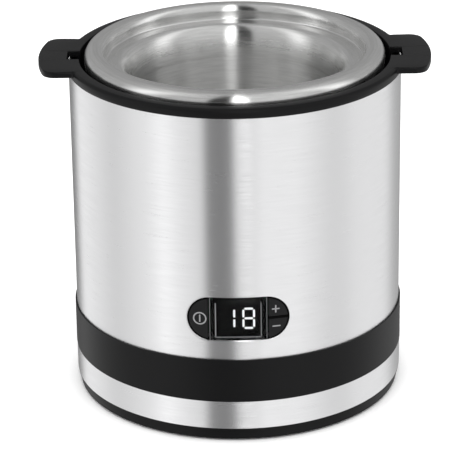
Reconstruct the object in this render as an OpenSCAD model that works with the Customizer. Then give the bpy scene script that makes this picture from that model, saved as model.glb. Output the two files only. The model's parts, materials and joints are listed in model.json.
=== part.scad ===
// Compact frozen-dessert maker: a steel freezer bowl that turns in a brushed-steel body.
// Millimetres, +Z up, origin on the floor under the body's axis, control panel facing -Y.

/* [Freezer bowl] */
// Outer radius of the freezer bowl
bowl_r = 72.3; // [68:0.1:78]
// How far the crest of the rim stands above the collar
rim_proud = 4.6; // [3:0.1:7]
// Sheet thickness of both bowl shells
bowl_sheet = 0.8; // [0.6:0.1:1]
// Outer rounding of the rim
rim_outer_round = 6.1; // [4.5:0.1:7]
// Inner rounding of the rim
rim_inner_round = 4; // [3:0.1:5]
// Depth of the lid seat below the crest
seat_depth = 7.9; // [7:0.1:9]
// Width of the lid seat
seat_w = 5.7; // [4.5:0.1:7]
// Radial width from the pan's wall at the fill line to the outside of the bowl
coolant_w = 22.3; // [21:0.1:25]
// Depth of the fill line below the crest
fill_line_depth = 23.4; // [21:0.1:26]
// Height of the pan's floor above the underside of the bowl
pan_lift = 19; // [17:0.1:25]
// How far the pan's wall tapers in from the fill line to the floor
pan_taper = 1.6; // [0.5:0.1:3]
// How far the wall flares from the fill line to the lid seat
neck_flare = 0.8; // [0.4:0.1:1.5]
// Corner radius of the pan's floor
pan_corner = 8; // [5:0.5:12]
// Corner radius of the bowl's outer base
bowl_corner = 9; // [6:0.5:12]
// Gap kept round the coolant inside the bowl
coolant_gap = 0.3; // [0.2:0.1:0.6]

/* [Body] */
// Radial gap between the bowl and the well
well_gap = 2.7; // [2:0.1:4]
// Radial width from the well's inner wall to the outside of the steel sleeve
collar_w = 5; // [4.8:0.1:7]
// Sheet thickness of the steel sleeve and ring
sheet_t = 0.8; // [0.6:0.1:1]
// Visible height of the upper steel sleeve
shell_h = 122.4; // [108:0.1:130]
// Height of the space for the drive, from the band to the underside of the bowl
drive_h = 47.1; // [44:0.1:52]
// Visible height of the black band
band_h = 21.7; // [18:0.1:26]
// How far the band stands proud of the upper sleeve
band_proud = 0.8; // [0.6:0.1:1.2]
// Wall of the band
band_wall = 2.4; // [2:0.1:3]
// Visible height of the lower steel ring
lower_ring_h = 14.2; // [12:0.1:18]
// How far the lower ring stands proud of the upper sleeve
lower_ring_proud = 0.6; // [0.4:0.1:0.8]
// Height of the base from its underside to the lower ring
base_h = 6; // [5.5:0.1:8]
// Thickness of the base floor
base_floor = 2.5; // [2:0.1:3]
// Inset of the base's foot ring from the lower ring
foot_ring_inset = 1.4; // [1:0.1:3]
// Height of the base's lip under the lower ring
base_lip = 1.2; // [1:0.1:1.6]
// Depth of the spigots that carry the sleeve and the ring
spigot_h = 6; // [4:0.5:6.5]
// Wall of those spigots
spigot_wall = 1.6; // [1.2:0.1:2]
// Clearance between pieces that seat in each other
seat_gap = 0.1; // [0.05:0.01:0.15]

/* [Collar and ears] */
// Thickness of the collar plate and the ears
collar_t = 3; // [2.6:0.1:3.6]
// How far the skirt hangs below the top of the sleeve
skirt_drop = 1.4; // [1:0.1:2.5]
// Wall of the skirt outside the sleeve
skirt_wall = 0.65; // [0.5:0.05:0.7]
// Rounding of the collar's top outer edge
collar_edge = 1.8; // [1:0.1:2.2]
// Half angle left open in the skirt under each ear
ear_open_angle = 15.5; // [12:0.1:17]
// How far each ear reaches past the sleeve
ear_reach = 14.4; // [12:0.1:18]
// Width of each ear
ear_w = 51; // [47:0.5:55]
// Radius of the ears' outer corners
ear_corner = 6.5; // [4:0.5:9]
// Radius of the bowed outer end of each ear
ear_bow = 75; // [60:1:100]
// Width of the lid slot in each ear
slot_w = 11.5; // [9:0.1:14]
// Radial length of the lid slot from the collar's inner edge
slot_l = 5.6; // [5.3:0.1:6.4]
// Depth of the lid slot's pocket below the collar plate
slot_pocket = 7; // [5:0.5:9]
// Depth of the collar's rib between the well and the sleeve
collar_rib_h = 6; // [4:0.5:7]

/* [Well and turntable] */
// Wall of the well
well_wall = 1.8; // [1.5:0.1:2]
// Thickness of the well's floor
well_floor = 2.5; // [2:0.1:3]
// Radius of the turntable
table_r = 32; // [28:0.5:38]
// Thickness of the turntable
table_t = 2.4; // [2:0.1:3]
// Gap between the turntable and the bowl's base
table_gap = 0.3; // [0.25:0.05:0.4]
// Thickness of the thrust washer
washer_t = 0.5; // [0.4:0.1:0.8]
// Axial play over the upper bush
axial_play = 0.3; // [0.2:0.05:0.4]
// Flange thickness of the bushes
bush_flange = 0.8; // [0.6:0.1:1.2]
// Radius of the drive shaft
shaft_r = 4; // [3.5:0.1:4.5]
// Radial running clearance of shafts and pins
run_gap = 0.05; // [0.02:0.01:0.09]
// Radius of the drive pegs
peg_r = 3.2; // [2.8:0.1:3.6]
// Height of the drive pegs
peg_h = 4.5; // [4:0.1:5]
// Radius of the circle that the drive pegs stand on
peg_circle = 15; // [14:0.5:16]
// Clearance of the pegs in the bowl's socket
peg_gap = 0.4; // [0.3:0.05:0.6]
// Radius of the bowl's drive socket
socket_r = 22; // [21:0.5:26]
// Height of the bowl's drive socket
socket_h = 7; // [6.5:0.1:8]

/* [Gear train] */
// Module of the gears between the idler and the output
out_module = 1; // [1]
// Module of the gears between the motor and the idler
in_module = 0.8; // [0.8]
// Teeth of both pinions
pinion_teeth = 12; // [12]
// Teeth of the output gear
out_teeth = 48; // [48]
// Teeth of the idler's wheel
wheel_teeth = 54; // [54]
// Face width of the output gear
out_face = 8; // [6:0.5:9]
// Face width of the idler's wheel
wheel_face = 5; // [4:0.5:6]
// Direction from the drive shaft to the idler, in degrees
idler_angle = 160; // [150:1:170]
// Direction from the idler to the motor, in degrees
motor_angle = 40; // [35:1:45]
// Radius of the idler's pin
idler_pin_r = 2; // [1.5:0.1:2.4]
// Wall of the gearbox
gearbox_wall = 2; // [1.6:0.1:2.4]
// Thickness of the gearbox floor and cover
gearbox_plate = 2; // [1.8:0.1:2.5]
// Clearance between gears and the gearbox
gear_gap = 1.4; // [1:0.1:2]
// Height of the pillars between the gearbox cover and the well
gearbox_drop = 3; // [2:0.5:5]

/* [Motor] */
// Outer radius of the motor can
motor_r = 17.5; // [16:0.5:19]
// Height of the motor can
motor_h = 36; // [32:0.5:38]
// Wall of the motor can
motor_wall = 1.2; // [1:0.1:1.6]
// Radius of the motor shaft
motor_shaft_r = 1.5; // [1.2:0.1:1.6]
// Radius of the wound armature
armature_r = 11.5; // [10:0.5:12]

/* [Control panel] */
// Height of the panel's centre above the band
panel_rise = 20.9; // [19:0.1:40]
// Width of the panel's capsule
panel_w = 48; // [46:0.5:52]
// Height of the panel's capsule
panel_h = 21.8; // [20:0.1:24]
// Width of the black rim round the keys
panel_rim = 0.5; // [0.4:0.1:0.8]
// Width of the display window
window_w = 26.8; // [24:0.1:28]
// Width of the bevel at the window's sides
window_bevel = 2.7; // [2:0.1:3.2]
// Height of the bevel at the window's top and bottom
window_bevel_z = 2.1; // [1.6:0.1:2.6]
// How far the window stands proud of the sleeve
window_proud = 0.7; // [0.4:0.05:0.75]
// Thickness of the keys and the bezel
panel_t = 2.2; // [2:0.1:2.6]
// Gap round each key
key_gap = 0.25; // [0.2:0.05:0.35]
// Travel of each key
key_travel = 0.6; // [0.4:0.1:0.8]
// Gap between the plus and minus keys
key_split = 1.3; // [0.8:0.1:1.8]
// Height of the lit digits
digit_h = 11.3; // [10:0.1:12]
// Width of each digit between its upright bars
digit_w = 5; // [4.6:0.1:6]
// Width of a lit bar
bar_w = 1.25; // [1:0.05:1.5]
// Distance from the ones digit's centre to the panel's centre
digit_x = 4.9; // [4:0.1:6]
// Distance from the ones digit's centre to the upright ten
digit_pitch = 6.8; // [6.5:0.1:8]
// Thickness of the circuit boards
board_t = 1.6; // [1.2:0.1:2]

/* [Power supply and base fittings] */
// Width of the power board
power_w = 76; // [70:1:78]
// Depth of the power board
power_d = 40; // [34:1:42]
// Height of the power board's pillars
pillar_h = 6; // [5:0.5:9]
// Radius of the four long posts under the well
post_r = 4.5; // [4:0.1:5]
// Radius of the circle that the posts stand on
post_circle = 66; // [64:0.5:67]
// Radius of the screw shanks
screw_r = 1.5; // [1.2:0.1:1.8]
// Radius of the screw heads
screw_head_r = 2.8; // [2.4:0.1:3]
// Radius of the rubber feet
foot_r = 7; // [6:0.5:8]
// How far the feet stand out below the base
foot_proud = 1; // [0.8:0.1:2]
// Radius of the circle that the feet stand on
foot_circle = 64; // [60:0.5:66]
// Radius of the mains cord that the gland takes
cord_r = 3.2; // [2.8:0.1:3.6]
// Clearance of the cord in its gland
cord_gap = 0.3; // [0.2:0.05:0.5]

/* [Hidden] */
$fn = 96;
eps = 0.01;
far = 400;

steel = [0.72, 0.72, 0.73];
bright_steel = [0.8, 0.8, 0.81];
black = [0.05, 0.05, 0.055];
dark = [0.1, 0.1, 0.11];
ivory = [0.86, 0.84, 0.76];
brass = [0.78, 0.62, 0.3];
copper = [0.72, 0.4, 0.22];
board_green = [0.06, 0.3, 0.16];

// Radii of the nested body pieces
well_ir = bowl_r + well_gap;
well_or = well_ir + well_wall;
body_r = well_ir + collar_w;
body_ir = body_r - sheet_t;
skirt_ir = body_r + seat_gap;
skirt_r = skirt_ir + skirt_wall;
band_r = body_r + band_proud;
ring_r = body_r + lower_ring_proud;
ring_ir = ring_r - sheet_t;
low_spigot_r = ring_ir - seat_gap;
up_spigot_r = body_ir - seat_gap;
foot_ring_r = ring_r - foot_ring_inset;

// Levels of the body, from the floor up
base_z = foot_proud;
base_top = base_z + base_floor;
ring_z = base_z + base_h;
band_z = ring_z + lower_ring_h;
shell_z = band_z + band_h;
shell_top = shell_z + shell_h;
ear_z = shell_top + seat_gap;
collar_top = shell_top + collar_t;
panel_z = shell_z + panel_rise;

// Levels of the bowl and its drive, from the collar down
crest_z = collar_top + rim_proud;
bowl_z = shell_z + drive_h;
table_top = bowl_z - table_gap;
table_z = table_top - table_t;
washer_z = table_z - washer_t;
bush_top = washer_z - axial_play;
well_floor_top = bush_top - bush_flange;
well_z = well_floor_top - well_floor;
seat_z = crest_z - seat_depth;
fill_z = crest_z - fill_line_depth;
pan_z = bowl_z + pan_lift;
socket_z = bowl_z + seat_gap;
socket_top = socket_z + socket_h;
crest_r = bowl_r - rim_outer_round;
seat_outer_r = crest_r - rim_inner_round;
seat_inner_r = seat_outer_r - seat_w;
peg_angles = [0, 120, 240];
rim_low_z = seat_z - 0.3;
shell_cup_r = bowl_r - bowl_sheet - seat_gap;
cup_top = seat_z + 1.2;
pan_r = bowl_r - coolant_w;
pan_floor_r = pan_r - pan_taper;
neck_blend = seat_inner_r - pan_r - neck_flare;
pocket_r = socket_r + seat_gap;
pocket_top = socket_top + seat_gap;

// Gear train: levels and centres
gearbox_top = well_z - gearbox_drop;
cover_z = gearbox_top - gearbox_plate;
gear_clear = 2;
out_z = cover_z - gear_clear - out_face;
wheel_z = out_z - gear_clear - 1 - wheel_face;
case_floor_top = wheel_z - gear_clear;
case_z = case_floor_top - gearbox_plate;
addendum_shift = 0.35;
out_tip = out_module * (out_teeth / 2 + 1 - addendum_shift);
wheel_tip = in_module * (wheel_teeth / 2 + 1 - addendum_shift);
pinion_tip = in_module * (pinion_teeth / 2 + 1 + addendum_shift);
idler_distance = out_module * (out_teeth + pinion_teeth) / 2;
motor_distance = in_module * (wheel_teeth + pinion_teeth) / 2;
idler_at = idler_distance * [cos(idler_angle), sin(idler_angle)];
motor_at = idler_at + motor_distance * [cos(motor_angle), sin(motor_angle)];
backlash = 0.16;
lower_hub_h = 5;
hub_wall = 5;
flat_play = 3;
bush_r = shaft_r + 3;
pin_gap = 0.03;

// Gearbox screws: three lugs on a circle round the output gear
lug_r = 4.5;
lug_circle = out_tip + gear_gap + gearbox_wall + lug_r - 1.5;
lug_angles = [-75, 25, 245];
lug_t = 2;

// Motor
motor_top = case_z;
motor_z = motor_top - motor_h;
motor_screw_circle = 12;
motor_screw_r = 1.2;
motor_head_r = 2.1;
motor_head_h = 1.6;
motor_cap_t = 3;
armature_gap = 5;
magnet_gap = 0.9;

// Panel
bezel_face_r = body_r - 0.2;
window_front = -(body_r + window_proud);
window_back = -(body_r - 2.6);
window_h = panel_h - 2 * seat_gap;
flange_lap = 2;
flange_front_r = body_ir - 1.05;
flange_t = 1;
stem_l = 3.2;
stem_r = 1.5;
plunger_gap = key_travel + 0.3;
key_flange_gap = 0.3;
key_flange_t = 1;
module_gap = 0.6;
bar_t = 0.3;
module_y = window_back + module_gap;
power_key_x = -(panel_w / 2 - 5.7);
side_key_x = panel_w / 2 - 6.3;
key_half = panel_h / 4 - 0.5;
bezel_inner_r = flange_front_r - flange_t;
key_flange_r = bezel_inner_r - key_flange_gap;
key_inner_r = key_flange_r - key_flange_t;
stem_end_y = -key_inner_r + stem_l;
switch_y = stem_end_y + plunger_gap;
switch_body = [6, 3.5, 6];
plunger_l = 1;
board_y = switch_y + plunger_l + switch_body[1];
board_w = panel_w + 2;
board_h = panel_h + 2;
module_depth = board_y - module_y;

// Base fittings
vent_w = 2;
vent_l = 30;
vent_y = 12;
vent_pitch = 5;
post_angles = [45, 135, 225, 315];
foot_angles = [0, 90, 180, 270];
boss_h = 4;
boss_z = base_top + boss_h;
post_gap = 0.1;
pilot_depth = 12;
power_z = base_top + pillar_h;
power_front = -sqrt(pow(low_spigot_r - spigot_wall - 3, 2) - pow(power_w / 2, 2));
power_mid = power_front + power_d / 2;
pillar_r = 3;
pillar_inset = 4;
gland_z = band_z + band_h / 2;
gland_flange_r = cord_r + 4;
gland_flange_t = 1.5;
gland_face = sqrt(pow(band_r, 2) - pow(gland_flange_r + 0.5, 2)) - 0.2;
gland_barrel_r = cord_r + 2;
gland_l = 12;
gland_nut_t = 3;

// ---------- shared shapes ----------

// A ring of rectangular section between two radii
module tube(r_out, r_in, z, h) {
    translate([0, 0, z])
        rotate_extrude($fn = 180)
            translate([r_in, 0]) square([r_out - r_in, h]);
}

// A plain cylinder standing at z
module rod(r, z, h) {
    translate([0, 0, z]) cylinder(r = r, h = h);
}

// Places children at one radius and several angles
module around(radius, angles) {
    for (a = angles) rotate([0, 0, a]) translate([radius, 0, 0]) children();
}

// Places children over the four pillars of the power board
module at_pillars() {
    for (x = [-1, 1], y = [-1, 1])
        translate([x * (power_w / 2 - pillar_inset), power_mid + y * (power_d / 2 - pillar_inset), 0])
            children();
}

// The capsule outline in the panel's plane, grown by a margin
module capsule_2d(grow) {
    h = panel_h + 2 * grow;
    w = panel_w + 2 * grow;
    square([w - h, h], center = true);
    for (s = [-1, 1]) translate([s * (w - h) / 2, 0]) circle(r = h / 2, $fn = 64);
}

// Carries a panel outline through the front of the body along Y
module through_front() {
    translate([0, -body_r / 2, panel_z]) rotate([90, 0, 0])
        linear_extrude(body_r) children();
}

// The front part of a cylindrical wall, between two radii
module front_wall(r_out, r_in) {
    intersection() {
        tube(r_out, r_in, panel_z - panel_h, 2 * panel_h);
        translate([-panel_w, -far, 0]) cube([2 * panel_w, far, far]);
    }
}

// A cross-headed pan screw with its head at z, shank upwards
module screw(z, shank, shank_r = screw_r, head_r = screw_head_r, head_h = 2) {
    difference() {
        union() {
            translate([0, 0, z]) cylinder(r = head_r, h = head_h, $fn = 32);
            translate([0, 0, z + head_h]) cylinder(r = shank_r, h = shank, $fn = 32);
        }
        for (a = [0, 90]) rotate([0, 0, a])
            translate([-head_r * 0.6, -0.4, z - eps]) cube([head_r * 1.2, 0.8, 1]);
    }
}

// Involute angle of a point at radius r on a gear of base radius rb, in degrees
function involute_at(rb, r) = let (a = acos(min(1, rb / r))) tan(a) * 180 / PI - a;

// Half the angle of a tooth at radius r
function tooth_half(m, z, x, r) =
    let (rp = m * z / 2, rb = rp * cos(20), s = m * (PI / 2 + 2 * x * tan(20)) - backlash)
    s / (2 * rp) * 180 / PI + involute_at(rb, rp) - involute_at(rb, max(rb, r));

// Outline of an involute spur gear: module m, z teeth, profile shift x
function gear_points(m, z, x) =
    let (tip = m * (z / 2 + 1 + x), root = m * (z / 2 - 1.3 + x), rb = m * z / 2 * cos(20),
         foot = max(root + 0.02, rb), levels = [foot, (foot + tip) / 2, tip],
         foot_half = tooth_half(m, z, x, foot))
    [for (i = [0:z - 1]) let (c = i * 360 / z) each concat(
        [root * [cos(c - foot_half), sin(c - foot_half)]],
        [for (r = levels) let (h = tooth_half(m, z, x, r)) r * [cos(c - h), sin(c - h)]],
        [for (k = [2:-1:0]) let (r = levels[k], h = tooth_half(m, z, x, r)) r * [cos(c + h), sin(c + h)]],
        [root * [cos(c + foot_half), sin(c + foot_half)]]
    )];

module gear(m, z, x, face) {
    linear_extrude(face) polygon(gear_points(m, z, x));
}

// ---------- body ----------

module base_tray() {
    inner_r = foot_ring_r - 2.2;
    color(black) difference() {
        union() {
            rod(foot_ring_r, base_z, base_floor);
            tube(foot_ring_r, inner_r, base_z, base_h);
            tube(ring_r - 0.2, inner_r, ring_z - base_lip, base_lip);
            tube(low_spigot_r, low_spigot_r - spigot_wall, ring_z - base_lip, base_lip + spigot_h);
            around(post_circle, post_angles) rod(post_r, base_z, base_floor + boss_h);
            at_pillars() rod(pillar_r, base_top - eps, pillar_h + eps);
        }
        around(post_circle, post_angles) {
            translate([0, 0, base_z - 1]) cylinder(r = screw_head_r + 0.3, h = base_floor + 1);
            rod(screw_r + 0.2, base_z, far);
        }
        around(foot_circle, foot_angles)
            translate([0, 0, base_z - 1]) cylinder(r = foot_r + seat_gap, h = 2);
        at_pillars() rod(screw_r + eps, power_z - pillar_h + 1, far);
        for (i = [-4:4]) translate([i * vent_pitch - vent_w / 2, vent_y, 0])
            cube([vent_w, vent_l, base_top + 1]);
    }
}

module rubber_feet() {
    color(dark) around(foot_circle, foot_angles) difference() {
        union() {
            cylinder(r = foot_r, h = foot_proud + 0.9);
        }
        translate([0, 0, -eps]) cylinder(r = foot_r * 0.45, h = 0.6);
    }
}

module base_screws() {
    color(steel) around(post_circle, post_angles)
        screw(base_z + 0.5, boss_z - base_z - 0.5 + pilot_depth - 4);
}

module lower_steel_ring() {
    color(steel) tube(ring_r, ring_ir, ring_z, lower_ring_h);
}

module band_ring() {
    color(black) difference() {
        union() {
            tube(band_r, band_r - band_wall, band_z, band_h);
            tube(low_spigot_r, low_spigot_r - spigot_wall, band_z - spigot_h, spigot_h + 3);
            tube(up_spigot_r, up_spigot_r - spigot_wall, shell_z - 3, 3 + spigot_h);
            intersection() {
                translate([-gland_flange_r - 2, gland_face - gland_l + gland_nut_t + 1, band_z + 1])
                    cube([2 * gland_flange_r + 4, gland_l - gland_nut_t - 2, band_h - 2]);
                rod(band_r - 1, band_z, band_h);
            }
        }
        translate([0, gland_face - gland_flange_t - seat_gap, gland_z]) rotate([-90, 0, 0])
            cylinder(r = gland_flange_r + seat_gap, h = far);
        translate([0, 0, gland_z]) rotate([-90, 0, 0])
            cylinder(r = gland_barrel_r + seat_gap, h = far);
    }
}

module cord_gland() {
    color(dark) translate([0, 0, gland_z]) rotate([-90, 0, 0]) difference() {
        union() {
            translate([0, 0, gland_face - gland_flange_t])
                cylinder(r = gland_flange_r, h = gland_flange_t);
            translate([0, 0, gland_face - gland_l])
                cylinder(r = gland_barrel_r, h = gland_l - eps);
            translate([0, 0, gland_face - gland_l])
                cylinder(r = gland_barrel_r + 1.6, h = gland_nut_t, $fn = 6);
        }
        translate([0, 0, gland_face - gland_l - 1])
            cylinder(r = cord_r + cord_gap, h = gland_l + 2);
    }
}

module housing_shell() {
    color(steel) difference() {
        tube(body_r, body_ir, shell_z, shell_h);
        through_front() capsule_2d(0);
    }
}

// Outline of one ear on the +X side: straight sides and round corners that run into a bowed end
module ear_2d() {
    half = ear_w / 2;
    tilt = asin((half - ear_corner) / (ear_bow - ear_corner));
    bow_x = body_r + ear_reach - ear_bow;
    corner_x = bow_x + (ear_bow - ear_corner) * cos(tilt);
    translate([0, -half]) square([corner_x, ear_w]);
    for (s = [-1, 1]) translate([corner_x, s * (half - ear_corner)]) circle(r = ear_corner);
    translate([bow_x, 0]) intersection() {
        circle(r = ear_bow, $fn = 240);
        polygon([[0, 0], far * [1, tan(tilt)], far * [1, -tan(tilt)]]);
    }
}

module collar() {
    edge_r = skirt_r - collar_edge;
    color(black) difference() {
        union() {
            rotate_extrude($fn = 180) {
                translate([well_ir, ear_z]) square([edge_r - well_ir, collar_top - ear_z]);
                intersection() {
                    translate([edge_r, collar_top - collar_edge]) circle(r = collar_edge);
                    translate([edge_r - eps, ear_z]) square([far, far]);
                }
                translate([edge_r - eps, ear_z])
                    square([skirt_r - edge_r, collar_top - collar_edge - ear_z]);
                translate([skirt_ir, shell_top - skirt_drop])
                    square([skirt_wall, collar_top - collar_edge - shell_top + skirt_drop]);
                translate([well_or + seat_gap, shell_top - collar_rib_h])
                    square([body_ir - well_or - 2 * seat_gap, collar_rib_h + 1]);
            }
            for (s = [0, 180]) rotate([0, 0, s]) difference() {
                translate([0, 0, ear_z]) linear_extrude(collar_top - ear_z) ear_2d();
                rod(well_ir + 1, ear_z - 1, far);
            }
        }
        for (s = [0, 180]) rotate([0, 0, s]) {
            translate([0, -slot_w / 2, shell_top - far / 2])
                cube([well_ir + slot_l, slot_w, far]);
            intersection() {
                tube(
                    skirt_r + 1, skirt_ir - seat_gap - eps,
                    shell_top - skirt_drop - 1, skirt_drop + 1 + seat_gap);
                linear_extrude(far) polygon([
                    [0, 0], far * [1, tan(ear_open_angle)], far * [1, -tan(ear_open_angle)]]);
            }
        }
    }
}

module well_liner() {
    color(black) difference() {
        union() {
            rotate_extrude($fn = 180) difference() {
                translate([0, well_z]) square([well_or, shell_top - well_z]);
                translate([0, well_floor_top]) square([well_ir, far]);
            }
            around(post_circle, post_angles)
                rod(post_r, boss_z + post_gap, well_z - boss_z - post_gap + eps);
            around(lug_circle, lug_angles)
                rod(lug_r - 0.5, gearbox_top + seat_gap, well_z - gearbox_top - seat_gap + eps);
            rod(shaft_r + 5.5, well_z - 1.5, 1.5 + eps);
        }
        rod(bush_r + seat_gap, well_z - 2, far);
        around(post_circle, post_angles)
            rod(screw_r + eps, boss_z + post_gap - 1, pilot_depth + 1);
        around(lug_circle, lug_angles)
            rod(screw_r + eps, gearbox_top, gearbox_drop + 1.2);
        for (s = [-1, 1]) translate([s * well_ir - 10, -slot_w / 2, shell_top - slot_pocket])
            cube([20, slot_w, far]);
    }
}

// ---------- control panel ----------

module key_regions_2d(shrink) {
    intersection() {
        capsule_2d(-panel_rim - shrink);
        union() {
            translate([-panel_w, -panel_h / 2])
                square([panel_w - window_w / 2 - panel_rim - shrink, panel_h]);
            side_keys_2d(shrink);
        }
    }
}

module side_keys_2d(shrink) {
    for (s = [0, 1]) mirror([0, s])
        translate([window_w / 2 + panel_rim + shrink, key_split / 2 + shrink - key_gap])
            square([panel_w / 2, panel_h / 2]);
}

module panel_bezel() {
    color(black) difference() {
        union() {
            intersection() {
                through_front() capsule_2d(-seat_gap);
                front_wall(bezel_face_r, bezel_inner_r);
            }
            intersection() {
                through_front() capsule_2d(flange_lap);
                front_wall(body_ir - seat_gap, bezel_inner_r);
            }
        }
        through_front() key_regions_2d(0);
        translate([-window_w / 2 - seat_gap, -far, panel_z - panel_h / 2])
            cube([window_w + 2 * seat_gap, far, panel_h]);
    }
}

module display_window() {
    side_y = -sqrt(pow(body_r, 2) - pow(window_w / 2, 2));
    color([0.3, 0.32, 0.35, 0.6]) intersection() {
        translate([0, 0, panel_z - window_h / 2]) linear_extrude(window_h) polygon([
            [-window_w / 2, window_back], [window_w / 2, window_back],
            [window_w / 2, side_y], [window_w / 2 - window_bevel, window_front],
            [-window_w / 2 + window_bevel, window_front], [-window_w / 2, side_y]]);
        translate([-window_w / 2, 0, panel_z]) rotate([90, 0, 90]) linear_extrude(window_w) polygon([
            [window_back, -window_h / 2], [window_back, window_h / 2],
            [-body_r + 0.1, window_h / 2], [window_front, window_h / 2 - window_bevel_z],
            [window_front, -window_h / 2 + window_bevel_z], [-body_r + 0.1, -window_h / 2]]);
    }
}

module display_module() {
    color(dark) difference() {
        translate([-window_w / 2 + 1.5, module_y, panel_z - panel_h / 2 + 1])
            cube([window_w - 3, module_depth - seat_gap, panel_h - 2]);
    }
}

// One lit bar, pointed at both ends, centred on the display plane
module lit_bar(x, z, length, upright) {
    translate([x, module_y - eps, panel_z + z]) rotate([90, upright ? 90 : 0, 0])
        linear_extrude(bar_t) polygon([
            [-length / 2, 0], [-length / 2 + bar_w / 2, bar_w / 2], [length / 2 - bar_w / 2, bar_w / 2],
            [length / 2, 0], [length / 2 - bar_w / 2, -bar_w / 2], [-length / 2 + bar_w / 2, -bar_w / 2]]);
}

module display_digits() {
    bar_l = digit_h / 2 - bar_w / 2 - 0.3;
    upright_z = (digit_h - bar_w) / 4;
    ten_x = digit_x - digit_pitch;
    color("white") {
        for (s = [-1, 1], x = [ten_x, digit_x - digit_w / 2, digit_x + digit_w / 2])
            lit_bar(x, s * upright_z, bar_l, true);
        for (k = [-1, 0, 1])
            lit_bar(digit_x, k * (digit_h - bar_w) / 2, digit_w - 0.3, false);
    }
}

module control_board() {
    color(board_green) difference() {
        translate([-board_w / 2, board_y, panel_z - board_h / 2]) cube([board_w, board_t, board_h]);
        for (s = [-1, 1]) translate([s * (board_w / 2 - 3), board_y - 1, panel_z - board_h / 2 + 3])
            rotate([-90, 0, 0]) cylinder(r = 1.2, h = 10);
    }
}

module key_switches() {
    color(dark) for (p = [[power_key_x, 0], [side_key_x, key_half], [side_key_x, -key_half]])
        translate([p[0], 0, panel_z + p[1]]) {
            translate([-switch_body[0] / 2, switch_y + plunger_l, -switch_body[2] / 2 + 0.6])
                cube([switch_body[0], switch_body[1], switch_body[2] - 1.2]);
            translate([0, switch_y + plunger_l + eps, 0]) rotate([90, 0, 0])
                cylinder(r = 1.4, h = plunger_l + eps);
        }
}

module key_stem(x, z) {
    translate([x, stem_end_y, panel_z + z]) rotate([90, 0, 0])
        cylinder(r = stem_r, h = stem_l + key_flange_t);
}

// A key: its cap follows the sleeve, a flange behind the bezel keeps it in, a stem meets its switch
module key(x, z) {
    color(black) {
        intersection() {
            through_front() intersection() { key_regions_2d(key_gap); children(); }
            front_wall(body_r, key_inner_r);
        }
        intersection() {
            through_front() intersection() { key_regions_2d(-0.6); children(); }
            front_wall(key_flange_r, key_inner_r);
        }
        key_stem(x, z);
    }
}

module power_key() {
    key(power_key_x, 0) translate([-panel_w, -panel_h]) square([panel_w - window_w / 2, 2 * panel_h]);
}

module side_key(s) {
    key(side_key_x, s * key_half) mirror([0, s < 0 ? 1 : 0])
        translate([window_w / 2, key_split / 2 - 0.3]) square([panel_w, panel_h]);
}

module plus_key() { side_key(1); }

module minus_key() { side_key(-1); }

// Flat cable from the control board down to the power board
module panel_ribbon() {
    t = 0.6;
    y0 = board_y + board_t + seat_gap;
    z0 = panel_z - board_h / 2 + 5;
    z1 = power_z + board_t + seat_gap;
    y1 = max(y0 + 6, power_front + 6);
    color([0.55, 0.55, 0.58]) translate([-8, 0, 0]) rotate([90, 0, 90]) linear_extrude(16) polygon([
        [y0, z0 + 4], [y0, z0], [y0 + 4, z0 - 6], [y1, z1 + 8], [y1, z1],
        [y1 + t, z1], [y1 + t, z1 + 8 + t], [y0 + 4 + t, z0 - 6], [y0 + t, z0], [y0 + t, z0 + 4]]);
}

// ---------- power supply ----------

module power_board() {
    color(board_green) difference() {
        translate([-power_w / 2, power_front, power_z + eps]) cube([power_w, power_d, board_t]);
        at_pillars() rod(screw_r + 0.2, power_z - 1, 5);
    }
}

module board_screws() {
    head_z = power_z + board_t;
    color(steel) at_pillars() translate([0, 0, 2 * head_z + 2 + 2 * eps]) mirror([0, 0, 1])
        screw(head_z, board_t + pillar_h - 2);
}

module transformer() {
    z = power_z + board_t + 2 * eps;
    color(ivory) translate([-26, power_mid - 12, z]) {
        cube([26, 22, 5]);
        translate([0, 2, 5 - eps]) cube([26, 18, 12]);
        translate([-2, 5, 5 + 1]) cube([30, 12, 10]);
    }
}

module capacitors() {
    z = power_z + board_t + 2 * eps;
    color([0.15, 0.2, 0.4]) {
        translate([14, power_mid - 8, z]) cylinder(r = 5, h = 16, $fn = 48);
        translate([14, power_mid + 5, z]) cylinder(r = 4, h = 12, $fn = 48);
    }
}

module terminal_block() {
    z = power_z + board_t + 2 * eps;
    color(dark) translate([21, power_mid - 9, z]) difference() {
        cube([10, 18, 10]);
        for (i = [0:2]) translate([5, 3 + i * 6, 4]) cylinder(r = 1.6, h = 10, $fn = 32);
    }
}

// ---------- gearbox ----------

// The outline of the gear train, as three circles
module train_2d(grow) {
    circle(r = out_tip + gear_gap + grow);
    translate(idler_at) circle(r = wheel_tip + gear_gap + grow);
    translate(motor_at) circle(r = pinion_tip + gear_gap + grow);
}

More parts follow.
